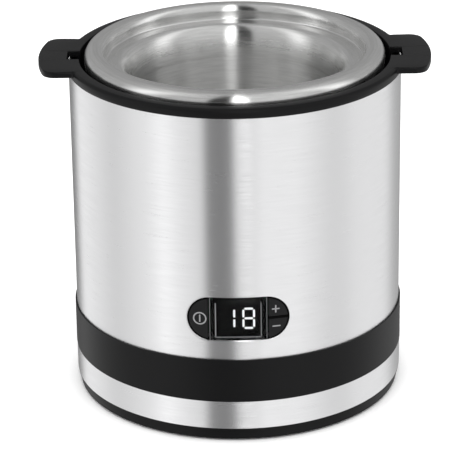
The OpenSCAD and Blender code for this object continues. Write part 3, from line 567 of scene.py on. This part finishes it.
@dataclass
class Bowl:
    """The double-walled bowl: a drawn pan with a lid seat and a domed rim, in an outer cup.

    Attributes:
        radius: Outer radius of the rim.
        crest: Height of the rim's crest.
        base: Height of the bowl's underside.
        sheet: Sheet thickness.
        outer_round: Width of the rim's rounding outside the crest.
        outer_drop: Height of that rounding.
        inner_round: Rounding inside the crest.
        seat_depth: Depth of the lid seat below the crest.
        seat_width: Width of the lid seat.
        wall_inset: How far inside the rim the pan's wall is.
        fill_depth: Depth below the crest of the foot of the wall's flare.
        scribe: Depth of the scribed line there, a tenth of its width.
        taper: How far the wall tapers in down to the floor.
        floor_lift: Height of the pan's floor above the underside.
        corner: Corner radius of the pan's floor.
    """

    radius: float
    crest: float
    base: float
    sheet: float = 0.8
    outer_round: float = 6.1
    outer_drop: float = 4.7
    inner_round: float = 4.0
    seat_depth: float = 7.9
    seat_width: float = 5.7
    wall_inset: float = 22.3
    fill_depth: float = 23.4
    scribe: float = 0.11
    taper: float = 1.6
    floor_lift: float = 19.0
    corner: float = 8.0

    def pan_side(self, depth: float) -> Array:
        """The pan's profile from the middle of its floor to the foot of its rim, at one depth.

        Args:
            depth: Depth below the visible surface.

        Returns:
            Points (radius, z).
        """
        seat_corner, foot_drop = 0.8, 0.3
        crest_r = self.radius - self.outer_round
        seat_out = crest_r - self.inner_round
        seat_in = seat_out - self.seat_width
        wall = self.radius - self.wall_inset
        flat = wall - self.taper - self.corner
        floor, fill = self.base + self.floor_lift, self.crest - self.fill_depth
        seat = self.crest - self.seat_depth
        neck = [seat_in - wall - depth, self.fill_depth - self.seat_depth - depth]
        groove = self.scribe * np.array([(0, -12), (0, -10), (1, -5)])
        inset = seat_corner - min(depth, seat_corner / 2)
        shoulder = [self.outer_round - depth, self.outer_drop - depth]
        return np.concatenate([
            np.linspace((0, floor - depth), (flat, floor - depth), 24)[:-1],
            arc((flat, floor + self.corner), self.corner + depth, -90, 0, 14),
            [wall + depth, fill] + groove,
            arc((0, 0), 1, 180, 90, 20) * neck + [seat_in, fill],
            arc((seat_out - inset, seat + inset), seat_corner, -90, 0, 5),
            arc((crest_r, self.crest - self.inner_round), self.inner_round - depth, 180, 90, 12),
            (arc((0, 0), 1, 90, 0, 18) * shoulder + [crest_r, self.crest - self.outer_drop])[1:],
            [[self.radius - depth, seat - foot_drop]],
        ])

    def build(self) -> None:
        """Makes the pan, a closed sheet turned about the axis."""
        skin = np.concatenate([self.pan_side(0.0), self.pan_side(self.sheet)[::-1]])
        pan = Form("bowl_pan").turned(skin, 288).piece("bowl", "bowl_steel", BOWL_STEEL)
        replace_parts(pan, "bowl_inner_pan")


# ---------- the collar ----------


@dataclass
class Collar:
    """The black collar: a ring with two slotted ears and a skirt that is open under them.

    Attributes:
        inner: Radius of its inner edge.
        outer: Radius of its skirt.
        top: Height of its top.
        under: Height of its underside.
        skirt_foot: Height of the skirt's lower edge.
        skirt_wall: Wall of the skirt.
        edge: Rounding of the top outer edge.
        ear_edge: Rounding of the ears' top edge.
        lip: Rounding of the top inner edge and of the slots.
        reach: How far the ears' tips stand from the axis.
        width: Width of an ear.
        corner: Radius of an ear's outer corners.
        bow: Radius of an ear's bowed tip.
        throat: Radius of the hollow where an ear leaves the ring.
        slot_end: How far out a slot reaches.
        slot_width: Width of a slot.
        gap_angle: Half angle of the skirt's gap under an ear, in degrees.
        steps: Stations in a quarter of the ring.
    """

    inner: float
    outer: float
    top: float
    under: float
    skirt_foot: float
    reach: float
    skirt_wall: float = 0.65
    edge: float = 1.8
    ear_edge: float = 0.5
    lip: float = 0.4
    width: float = 51.0
    corner: float = 6.5
    bow: float = 75.0
    throat: float = 1.5
    slot_end: float = 80.6
    slot_width: float = 11.5
    gap_angle: float = 15.5
    steps: int = 110

    def ear_quarter(self) -> Array:
        """A quarter of the outline, from the tip of the right ear to the +Y side of the ring.

        The bowed tip, a round corner, a straight side, a hollow fillet and the ring follow
        one another and meet in tangents: the corner's centre lies bow - corner from the bow's.

        Returns:
            Points (x, y).
        """
        half = self.width / 2
        tilt = math.asin((half - self.corner) / (self.bow - self.corner))
        bow_x = self.reach - self.bow
        corner_at = (bow_x + (self.bow - self.corner) * math.cos(tilt), half - self.corner)
        across = half + self.throat
        along = math.sqrt((self.outer + self.throat) ** 2 - across**2)
        meet = math.degrees(math.atan2(across, along))
        return np.concatenate([
            arc((bow_x, 0), self.bow, 0, math.degrees(tilt), 14),
            arc(corner_at, self.corner, math.degrees(tilt), 90, 14)[1:],
            arc((along, across), self.throat, 270, 180 + meet, 6),
            arc((0, 0), self.outer, meet, 90, self.steps)[1:],
        ])

    def slot_quarter(self, outline: Array) -> Array:
        """The inner edge at the outline's polar angles: the slot's end and side, then the ring.

        Args:
            outline: The outline's points.

        Returns:
            Points (x, y) in the same directions from the axis as the outline's.
        """
        angle = np.arctan2(*outline.T[::-1])
        half = self.slot_width / 2
        end = self.slot_end / np.cos(angle)
        side = half / np.maximum(np.sin(angle), 1e-6)
        radius = np.maximum(np.minimum(end, side), self.inner)
        return radius[:, None] * np.stack([np.cos(angle), np.sin(angle)], 1)

    def stations(self) -> Array:
        """The outline's quarter with extra points in line with the slot's corners."""
        quarter = self.ear_quarter()
        angle = np.arctan2(*quarter.T[::-1])
        half = self.slot_width / 2
        corners = np.arctan2(half, self.slot_end), np.arcsin(half / self.inner)
        extra = np.concatenate([corner + np.array([-0.002, 0.0, 0.002]) for corner in corners])
        wanted = np.sort(np.concatenate([angle, extra]))
        radius = np.interp(wanted, angle, np.hypot(*quarter.T))
        return radius[:, None] * np.stack([np.cos(wanted), np.sin(wanted)], 1)

    @staticmethod
    def all_round(quarter: Array) -> Array:
        """Mirrors a quarter into a whole loop, anticlockwise."""
        half = np.concatenate([quarter, (quarter * [-1, 1])[::-1][1:]])
        return np.concatenate([half, (half * [1, -1])[::-1][1:-1]])

    def build(self) -> None:
        """Makes the collar as one closed surface: every station has a loop of rows.

        A row runs from the inner edge over the rounded lip, across the top, over the outer
        edge's rounding, down the skirt and back under the ring.
        """
        root, root_blend = 1.4, 1.2  # how far out the ears' own rounding begins, and its blend
        ramp, burr, ease = 0.9, 0.15, 0.1  # the skirt's slant in degrees, and two small bevels
        quarter = self.stations()
        outline, hole = self.all_round(quarter), self.all_round(self.slot_quarter(quarter))
        outer_n, inner_n = outward(outline), -outward(hole)
        radial = np.hypot(*outline.T)
        on_ring = np.clip((self.outer + root - radial) / root_blend, 0, 1)[:, None]
        edge = self.ear_edge + (self.edge - self.ear_edge) * on_ring
        angle = np.degrees(np.arctan2(*np.abs(outline.T[::-1])))
        closing = np.clip((angle - self.gap_angle) / ramp, 0, 1)
        drop = (self.under - self.skirt_foot) * np.sqrt(1 - np.square(1 - closing))
        foot, rim, bends = self.under - drop, edge[:, 0], quarter_bend(5)
        on_ear = np.clip((radial - self.outer) / (2 * burr), 0, 1)[:, None]
        ring = outline * np.minimum(1, self.outer / radial)[:, None]
        inside = ring * (1 - self.skirt_wall / self.outer)
        rows = [raised(hole, self.under)]
        rows += [raised(hole - inner_n * self.lip * a, self.top - self.lip * b) for a, b in bends]
        rows += [raised(outline - outer_n * edge * a, self.top - rim * b) for a, b in bends[::-1]]
        rows += [
            raised(outline, self.under + burr),
            raised(outline - outer_n * burr * on_ear, self.under),
            raised(ring, self.under), raised(ring, foot + np.minimum(ease, drop)),
            raised(ring * (1 - ease / self.outer), foot), raised(inside, foot),
            raised(inside, self.under),
        ]
        collar = Form("collar_ring").grid(rows, loop_rows=True)
        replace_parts(collar.piece("housing", "black_plastic", SHELL_PLASTIC, sharp=50), "collar")


# ---------- the steel sleeve ----------


@dataclass
class Sleeve:
    """The brushed-steel sleeve, with a capsule-shaped opening whose edge is rolled in.

    Attributes:
        radius: Its outer radius.
        foot: Height of its lower edge.
        top: Height of its upper edge.
        panel_z: Height of the opening's middle.
        panel_w: Width of the opening.
        panel_h: Height of the opening.
        sheet: Sheet thickness.
        roll: Rounding of the opening's edge.
        zone: Half width and half height of the patch round the opening.
        across: Columns in that patch.
        up: Rows in that patch.
        behind: Columns round the rest of the sleeve.
    """

    radius: float
    foot: float
    top: float
    panel_z: float
    panel_w: float
    panel_h: float
    sheet: float = 0.8
    roll: float = 0.35
    zone: tuple[float, float] = (30.0, 16.0)
    across: int = 60
    up: int = 32
    behind: int = 220

    def capsule(self, rays: Array, grow: float) -> Array:
        """Where rays from the opening's middle meet its outline, grown by a margin.

        A ray meets a straight side where its height is the half height, or else the round
        end's circle, whose distance follows from the circle's equation.

        Args:
            rays: Unit directions (x, z).
            grow: The margin.

        Returns:
            Points (x, z), with z from the floor.
        """
        half = self.panel_h / 2 + grow
        reach = (self.panel_w - self.panel_h) / 2
        x, z = np.abs(rays[:, 0]), np.abs(rays[:, 1])
        flat = half / np.maximum(z, 1e-9)
        end = reach * x + np.sqrt(np.maximum(half**2 - (reach * z) ** 2, 0))
        distance = np.where(flat * x <= reach, flat, end)
        return distance[:, None] * rays + [0, self.panel_z]

    def plan(self, radius: float) -> tuple[Array, Array]:
        """A skin's plan, from the patch's left side round to it again.

        Args:
            radius: The skin's radius.

        Returns:
            Points (x, y) of the whole turn, and of the part behind the patch.
        """
        half_w = self.zone[0]
        x = np.linspace(-half_w, half_w, self.across + 1)
        turn = math.asin(half_w / radius)
        back = np.linspace(turn, 2 * math.pi - turn, self.behind + 1)
        behind = radius * np.stack([np.sin(back), -np.cos(back)], 1)
        front = np.stack([x, -np.sqrt(radius**2 - x**2)], 1)
        return np.concatenate([front, behind[1:-1]]), behind

    def skin(self, form: Form, radius: float, edge: list[tuple[float, float]]) -> None:
        """Adds one skin of the sheet: the patch round the opening and the wall about it.

        Args:
            form: The form that takes the patches.
            radius: The skin's radius.
            edge: Steps of the opening's edge, each a margin and a radius, inner one first.
        """
        half_w, half_h = self.zone
        x = np.linspace(-half_w, half_w, self.across + 1)
        z = np.linspace(-half_h, half_h, self.up + 1)
        low, right = np.stack([x, 0 * x - half_h], 1), np.stack([0 * z + half_w, z], 1)
        frame_loop = np.concatenate([low[:-1], right[:-1], -low[:-1], -right[:-1]])
        rays = frame_loop / np.linalg.norm(frame_loop, axis=1, keepdims=True)
        rows = [wrapped(r, self.capsule(rays, grow)) for grow, r in edge]
        start, stop = self.capsule(rays, edge[-1][0]), frame_loop + [0, self.panel_z]
        rows += list(wrapped(radius, np.linspace(start, stop, 9)[1:]))
        form.grid(rows)
        whole, behind = self.plan(radius)
        for levels, plan, closed in (
            (np.linspace(self.foot, self.panel_z - half_h, 4), whole, True),
            (self.panel_z + z, behind, False),
            (np.linspace(self.panel_z + half_h, self.top, 12), whole, True),
        ):
            form.grid([raised(plan, level) for level in levels], closed=closed)

    def build(self) -> None:
        """Makes the sleeve as a closed sheet: two skins, the rolled opening and both rims."""
        form = Form("steel_sleeve")
        inner = self.radius - self.sheet
        rolled = [(self.roll * a, self.radius - self.roll * b) for a, b in quarter_bend(4)]
        self.skin(form, self.radius, [(0.0, inner), *rolled])
        self.skin(form, inner, [(0.0, inner)])
        for level in (self.foot, self.top):
            form.grid([raised(self.plan(radius)[0], level) for radius in (self.radius, inner)])
        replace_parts(form.piece("housing", "brushed_steel", BODY_STEEL), "housing_shell")


# ---------- the key panel ----------


@dataclass
class Panel:
    """The keys, their printed marks, the clear window, grey strips of painted glint along its edges
    and the lit digits.

    Attributes:
        radius: Radius of the body, which the keys' faces follow.
        middle: Height of the panel's middle.
        width: Width of the capsule.
        height: Height of the capsule.
        rim: Width of the black rim round the keys.
        window_w: Width of the window.
        window_h: Height of the window.
        window_proud: How far the window stands out.
        window_back: Distance of the window's back from the axis.
        side_bevel: Width of the bevels at the window's sides.
        end_bevel: Height of the bevels at its top and bottom.
        glint_line: Width of a painted glint line along a window edge.
        gap: Gap round each key.
        split: Gap between the plus and minus keys.
        thickness: Thickness of a key.
        corner: Corner radius of a key.
        key_edge: Rounding of a key's front edge.
        print_rise: How far the print stands on a key.
        stroke: Line width of the marks.
        digit_h: Height of a digit.
        digit_w: Width between a digit's upright bars.
        digit_drop: How far the digits stand below the panel's middle.
        bar: Width of a lit bar.
        ones_x: Middle of the ones digit.
        pitch: Distance from the ones digit to the upright ten.
    """

    radius: float
    middle: float
    width: float
    height: float
    rim: float = 0.5
    window_w: float = 26.8
    window_h: float = 21.6
    window_proud: float = 0.7
    window_back: float = 77.4
    side_bevel: float = 2.7
    end_bevel: float = 2.1
    glint_line: float = 0.35
    gap: float = 0.25
    split: float = 1.3
    thickness: float = 2.2
    corner: float = 0.6
    key_edge: float = 0.3
    print_rise: float = 0.06
    stroke: float = 0.62
    digit_h: float = 10.9
    digit_w: float = 5.0
    digit_drop: float = 0.6
    bar: float = 1.0
    ones_x: float = 4.9
    pitch: float = 6.8

    def key_outline(self, low: float, high: float) -> Array:
        """The right key's outline between two heights from the middle, inside the capsule.

        It runs up the capsule's round end from the low side to the high side and back down
        the straight side by the window.

        Args:
            low: Height of its lower side from the panel's middle.
            high: Height of its upper side.

        Returns:
            Points (x, z), anticlockwise, with z from the panel's middle.
        """
        inside = self.window_w / 2 + self.rim + self.gap
        round_r = self.height / 2 - self.rim - self.gap
        reach = (self.width - self.height) / 2
        turn_x = inside + self.corner
        limit = math.sqrt(round_r**2 - (turn_x - reach) ** 2)
        start, stop = np.degrees(np.arcsin(np.clip([low, high], -limit, limit) / round_r))
        bow = arc((reach, 0), round_r, start, stop, 47)
        (foot_x, foot), (top_x, top), steps = bow[0], bow[-1], 14
        upper, lower = top - self.corner, foot + self.corner
        loop = np.concatenate([
            bow,
            np.linspace((top_x, top), (turn_x, top), steps)[1:],
            arc((turn_x, upper), self.corner, 90, 180, 6)[1:],
            np.linspace((inside, upper), (inside, lower), steps)[1:-1],
            arc((turn_x, lower), self.corner, 180, 270, 6),
            np.linspace((turn_x, foot), (foot_x, foot), steps)[1:-1],
        ])
        return loop[np.linalg.norm(loop - np.roll(loop, 1, 0), axis=1) > 1e-6]

    def key(self, name: str, outline: Array, mirrored: bool) -> bpy.types.Object:
        """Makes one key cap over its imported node.

        Args:
            name: The key's name, which its body and node share.
            outline: The outline on the right half, from the panel's middle.
            mirrored: Whether the key lies on the left half.

        Returns:
            The key cap.
        """
        side, inside_x = -1 if mirrored else 1, 17.0
        outline = (outline * [side, 1])[::side] + [0, self.middle]
        middle = (side * inside_x, (outline[:, 1].min() + outline[:, 1].max()) / 2)
        cap = Form(f"{name}_cap").pad(outline, middle, self.radius, self.thickness, self.key_edge)
        return cap.piece(name, "key_plastic", KEY_PLASTIC, sharp=50)

    def strip(self, form: Form, across: float, up: float, width: float, height: float) -> None:
        """Adds a thin bar with rounded corners on the keys' cylinder.

        Args:
            form: The form that takes it.
            across: Where its middle is, in x.
            up: How far its middle is above the panel's.
            width: Its width.
            height: Its height.
        """
        corner_share, longest_step, edge = 0.3, 0.12, 0.02
        outline = rectangle(width / 2, height / 2, min(width, height) * corner_share, 12)
        middle, rise = (across, self.middle + up), self.print_rise
        outline = stepped(outline, longest_step) + middle
        form.pad(outline, middle, self.radius + rise, rise * 2, edge)

    def marks(self) -> None:
        """Prints the power sign, the plus and the minus on their keys."""
        power_x, power_bar, ring_r = -18.1, 3.7, 2.56
        sign_x, sign_z, minus_x, plus_w, sign_l = 17.6, 4.4, 17.9, 3.6, 3.8
        sign = Form("power_mark")
        self.strip(sign, power_x, 0.0, self.stroke, power_bar)
        circle = arc((0, 0), 1, 0, 360, 96)[:-1]
        section = [(ring_r, -1), (ring_r, 1), (ring_r + self.stroke, 1), (ring_r + self.stroke, -1)]
        rings = [
            wrapped(self.radius + rise * self.print_rise, circle * r + [power_x, self.middle])
            for r, rise in section
        ]
        sign.grid(rings, loop_rows=True)
        sign.piece("power_key", "key_plastic", MARK_PRINT)
        plus = Form("plus_mark")
        self.strip(plus, sign_x, sign_z, plus_w, self.stroke)
        self.strip(plus, sign_x, sign_z, self.stroke, sign_l)
        plus.piece("plus_key", "key_plastic", MARK_PRINT)
        minus = Form("minus_mark")
        self.strip(minus, minus_x, -sign_z, sign_l, self.stroke)
        minus.piece("minus_key", "key_plastic", MARK_PRINT)

    def block(self) -> None:
        """Moulds the window, a block with a flat front and four bevels, its edges just eased, and
        lays painted glints along its edges.

        Its rows are rounded rectangles that stack from the back's middle to the front's.
        """
        half_w, half_h = self.window_w / 2, self.window_h / 2
        across, up = half_w - self.side_bevel, half_h - self.end_bevel
        side_y = math.sqrt(self.radius**2 - half_w**2)
        front = self.radius + self.window_proud
        ease, back_round, front_round = 0.12, 0.15, 0.3
        levels = [
            (half_w, half_h, self.window_back, back_round),
            (half_w, half_h, side_y - ease, back_round),
            (half_w - ease, half_h - ease, side_y + ease / 2, back_round),
            (across + ease, up + ease, front - ease / 2, front_round),
            (across - ease, up - ease, front, front_round),
        ]
        rows = [
            facing(rectangle(width, height, round_off, 5) + [0, self.middle], distance)
            for width, height, distance, round_off in levels
        ]
        back, cap = (np.array([0, 1, 0]) * row + [0, 0, self.middle] for row in (rows[0], rows[-1]))
        form = Form("display_block").grid([back, *rows, cap])
        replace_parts(form.piece("housing", "clear_window", WINDOW, sharp=12), "display_window")
        # Grey strips on the bevels' front edges and the window's sides: painted glints that stand
        # in for light caught in the clear edges.
        edges = Form("painted_window_glints")
        line, sunk, proud = self.glint_line / 2, 0.05, 0.03
        wide, narrow = line * 1.5, line * 0.7
        for x, z, width, height, near in (
            (-across, 0, wide, up + line, front), (across, 0, line, up + line, front),
            (0, -up, across + line, line, front),
            (-half_w, 0, narrow, half_h, side_y), (half_w, 0, narrow, half_h, side_y),
        ):
            outline = rectangle(width, height, 0, 1) + [x, z + self.middle]
            edges.slab(outline, near - sunk, near + proud)
        edges.piece("housing", "clear_window", PAINTED_GLINT)

    def digits(self) -> None:
        """Lights a seven-segment eight and the upright of a one behind the window.

        A bar is a capsule carried back by its depth; uprights stand in two storeys.
        """
        behind, depth, bar_gap, flat_cut = 0.6, 0.25, 0.05, 0.9
        plane = self.window_back - behind
        storey, half = (self.digit_h - self.bar) / 2, self.digit_w / 2
        upright, flat = storey - self.bar - bar_gap, self.digit_w - self.bar * flat_cut
        columns = self.ones_x - self.pitch, self.ones_x - half, self.ones_x + half
        bars = [(x, s * storey / 2, upright, True) for x in columns for s in (-1, 1)]
        bars += [(self.ones_x, s * storey, flat, False) for s in (-1, 0, 1)]
        form = Form("lit_digits")
        for x, z, length, standing in bars:
            outline = rectangle(length / 2, self.bar / 2, self.bar / 2, 5)
            if standing:
                outline = outline[:, ::-1] * [-1, 1]
            middle = [x, z + self.middle - self.digit_drop]
            form.slab(outline + middle, plane, plane + depth)
        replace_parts(form.piece("housing", "lit_segments", SEGMENT), "display_digits")

    def build(self) -> None:
        """Makes the keys, their marks, the window with its painted edge glints, and the digits."""
        inside = self.height / 2 - self.rim - self.gap
        low = self.split / 2
        power = self.key("power_key", self.key_outline(-inside, inside), True)
        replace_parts(power, "power_key")
        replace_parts(self.key("plus_key", self.key_outline(low, inside), False), "plus_key")
        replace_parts(self.key("minus_key", self.key_outline(-inside, -low), False), "minus_key")
        self.marks()
        self.block()
        self.digits()


def top_of(node: str) -> float:
    """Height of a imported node's top in millimetres."""
    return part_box(node)[1].z / MM


def foot_of(node: str) -> float:
    """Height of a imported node's foot in millimetres."""
    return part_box(node)[0].z / MM


def reach_of(node: str, axis: int = 0) -> float:
    """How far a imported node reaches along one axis, in millimetres."""
    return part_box(node)[1][axis] / MM


# ---------- studio ----------

Levels = tuple[tuple[float, float], ...]


class Ray(Enum):
    """Outputs of the Light Path node that the studio tells apart."""

    CAMERA = "Is Camera Ray"
    DIFFUSE = "Is Diffuse Ray"
    TRANSMITTED = "Is Transmission Ray"


@dataclass
class Studio:
    """A white room with soft panels all round, a pale floor, one soft lamp and the camera.

    Attributes:
        panels: Azimuth in degrees from the camera's side, right positive, and brightness there.
        sky: The same for directions that rise.
        horizon: Slope up and down within which the panels give way to the sky.
        brightest: The brightness that the ramps' white stands for.
        through: Share of the gloss light that reaches into clear pieces.
        fill: How bright the room is for matt surfaces.
        lamp_size: The lamp's side in metres.
        lamp_at: Where the lamp hangs, in metres.
        lamp_power: The lamp's power in watts.
        floor_size: The floor's side in metres.
        floor_shades: The floor's colour in the room and before the camera.
        lens: Focal length in millimetres on a 36 mm sensor.
        camera_at: The camera's place in millimetres.
        elevation: How far the camera looks down, in degrees.
        roll: How far it is turned about its line of sight, in degrees.
        shift: The frame's shift, as shares of its side.
    """

    panels: Levels = (
        (-180, 0.3), (-156, 0.25), (-149, 0.38), (-140, 1.1), (-110, 0.9), (-93, 0.76), (-79, 0.8),
        (-66, 0.97), (-58, 1.17), (-52, 1.27), (-44, 1.1), (-37, 0.99), (-30, 0.91), (-25, 0.82),
        (-21, 0.4), (-19, 0.29), (-9, 0.28), (-6, 0.31), (-3.5, 0.33), (-1, 0.42), (2, 0.56),
        (8, 0.69), (13, 0.93), (19, 1.06), (42, 1.07), (67, 0.85), (81, 0.77), (105, 0.96),
        (127, 0.97), (142, 0.56), (180, 0.3),
    )
    sky: Levels = (
        (-180, 0.35), (-95, 0.5), (-79, 1.4), (-73, 1.4), (-58, 0.55), (-22, 0.6), (-19, 0.03),
        (-3.5, 0.03), (-0.5, 3.0), (8.5, 3.0), (11, 0.75), (50, 0.75), (68, 0.6), (82, 1.4),
        (88, 1.4), (105, 0.5), (180, 0.35),
    )
    horizon: float = 0.1
    brightest: float = 4.0
    through: float = 0.3
    fill: float = 0.85
    lamp_size: float = 0.9
    lamp_at: tuple[float, float, float] = (0.0, -0.15, 1.1)
    lamp_power: float = 4.0
    floor_size: float = 12.0
    floor_shades: tuple[Colour, Colour] = ((0.85, 0.85, 0.85), (1.35, 1.35, 1.35))
    lens: float = 207.72
    camera_at: tuple[float, float, float] = (-1.46, -1237.89, 587.7)
    elevation: float = 22.543
    roll: float = -0.766
    shift: tuple[float, float] = (0.0020, -0.0016)

    def band(self, nodes: Nodes, share: Socket, levels: Levels) -> Socket:
        """The brightness round the room, as a share of the brightest.

        Args:
            nodes: The tree that it is built in.
            share: The azimuth, as a share of a turn from straight behind.
            levels: Azimuth in degrees and brightness there, in order.

        Returns:
            The ramp's output.
        """
        ramp = nodes.add("ShaderNodeValToRGB", {0: share})
        stops = ramp.color_ramp.elements
        while len(stops) < len(levels):
            stops.new(0.5)
        for stop, (degrees, level) in zip(stops, levels):
            stop.position = degrees / 360 + 0.5
            stop.color = (*[level / self.brightest] * 3, 1)
        return ramp.outputs[0]

    def room(self) -> None:
        """Lights the world: white for the camera, even for matt surfaces, panelled for gloss."""
        world = bpy.data.worlds.new("studio_room")
        bpy.context.scene.world = world
        nodes = Nodes(world)
        direction = nodes.add("ShaderNodeTexCoord").outputs["Generated"]
        axes = nodes.add("ShaderNodeSeparateXYZ", {0: direction}).outputs
        azimuth = nodes.math("ARCTAN2", axes[0], nodes.math("MULTIPLY", axes[1], -1.0))
        share = nodes.math("MULTIPLY_ADD", azimuth, 1 / (2 * math.pi), 0.5)
        low, high = self.band(nodes, share, self.panels), self.band(nodes, share, self.sky)
        rise = nodes.add("ShaderNodeMapRange", {0: axes[2], 1: -self.horizon, 2: self.horizon})
        pattern = nodes.add("ShaderNodeMix", {0: rise.outputs[0], 2: low, 3: high})
        path = nodes.add("ShaderNodeLightPath").outputs
        plain = nodes.math("MULTIPLY", path[Ray.DIFFUSE.value], self.fill)
        bright = nodes.math("MULTIPLY", pattern.outputs[0], self.brightest)
        gloss = nodes.math("MULTIPLY", bright, nodes.spread(path[Ray.DIFFUSE.value], 1.0, 0.0))
        through = nodes.spread(path[Ray.TRANSMITTED.value], 1.0, self.through)
        light = nodes.math("MULTIPLY_ADD", gloss, through, plain)
        unseen = nodes.spread(path[Ray.CAMERA.value], 1.0, 0.0)
        level = nodes.math("MULTIPLY_ADD", light, unseen, path[Ray.CAMERA.value])
        backdrop = nodes.add("ShaderNodeBackground", {"Color": (1, 1, 1, 1), "Strength": level})
        nodes.add("ShaderNodeOutputWorld", {"Surface": backdrop.outputs[0]})

    def floor(self) -> None:
        """Lays a pale floor that keeps the object's shadow and is left out of its reflections."""
        corners = raised(rectangle(self.floor_size / 2, self.floor_size / 2, 0, 0), 0)
        mesh = bpy.data.meshes.new("floor")
        mesh.from_pydata(corners.tolist(), [], [range(4)])
        floor = placed("floor", mesh)
        material = bpy.data.materials.new("pale_floor")
        nodes = Nodes(material)
        camera = nodes.add("ShaderNodeLightPath").outputs[Ray.CAMERA.value]
        colour = nodes.mixed(camera, *self.floor_shades)
        matt = nodes.add("ShaderNodeBsdfDiffuse", {"Color": colour})
        nodes.add("ShaderNodeOutputMaterial", {"Surface": matt.outputs[0]})
        mesh.materials.append(material)
        floor.visible_glossy = False

    def lamp(self) -> None:
        """Hangs one large soft lamp that looks at the object."""
        light = bpy.data.lights.new("soft_lamp", "AREA")
        light.size = self.lamp_size
        light.energy = self.lamp_power
        lamp = placed("soft_lamp", light)
        lamp.location = self.lamp_at
        lamp.rotation_euler = Vector(self.lamp_at).to_track_quat("Z", "Y").to_euler()
        lamp.visible_glossy = False

    def camera(self) -> None:
        """Places the camera: it looks along +Y, tips down and then rolls about its own axis."""
        lens = bpy.data.cameras.new("camera")
        lens.lens = self.lens
        lens.sensor_width = 36.0
        lens.shift_x, lens.shift_y = self.shift
        camera = placed("camera", lens)
        tip = Matrix.Rotation(math.radians(90 - self.elevation), 4, "X")
        roll = Matrix.Rotation(math.radians(self.roll), 4, "Z")
        camera.matrix_world = Matrix.Translation(Vector(self.camera_at) * MM) @ tip @ roll
        bpy.context.scene.camera = camera

    def build(self) -> None:
        """Sets up the room, the floor, the lamp and the camera."""
        bpy.context.scene.view_settings.view_transform = "Standard"
        self.room()
        self.floor()
        self.lamp()
        self.camera()
        LOG.info("studio: room, floor, lamp and camera")


def main() -> None:
    """Builds every piece in order and then the studio."""
    dress_nodes()
    body_r, body_top = reach_of("housing_shell"), top_of("housing_shell")
    panel_z = (top_of("display_window") + foot_of("display_window")) / 2
    panel_w, panel_h = 48.0, 21.8
    liner_rim, deck, skirt = 1.8, 0.1, 1.4
    Bowl(reach_of("bowl_inner_pan"), top_of("bowl_inner_pan"), foot_of("bowl_outer_shell")).build()
    Collar(
        inner=reach_of("well_liner") - liner_rim, outer=reach_of("collar", 1), top=top_of("collar"),
        under=body_top + deck, skirt_foot=body_top - skirt, reach=reach_of("collar"),
    ).build()
    Sleeve(body_r, foot_of("housing_shell"), body_top, panel_z, panel_w, panel_h).build()
    Panel(body_r, panel_z, panel_w, panel_h).build()
    Studio().build()


if __name__ == "__main__":
    main()
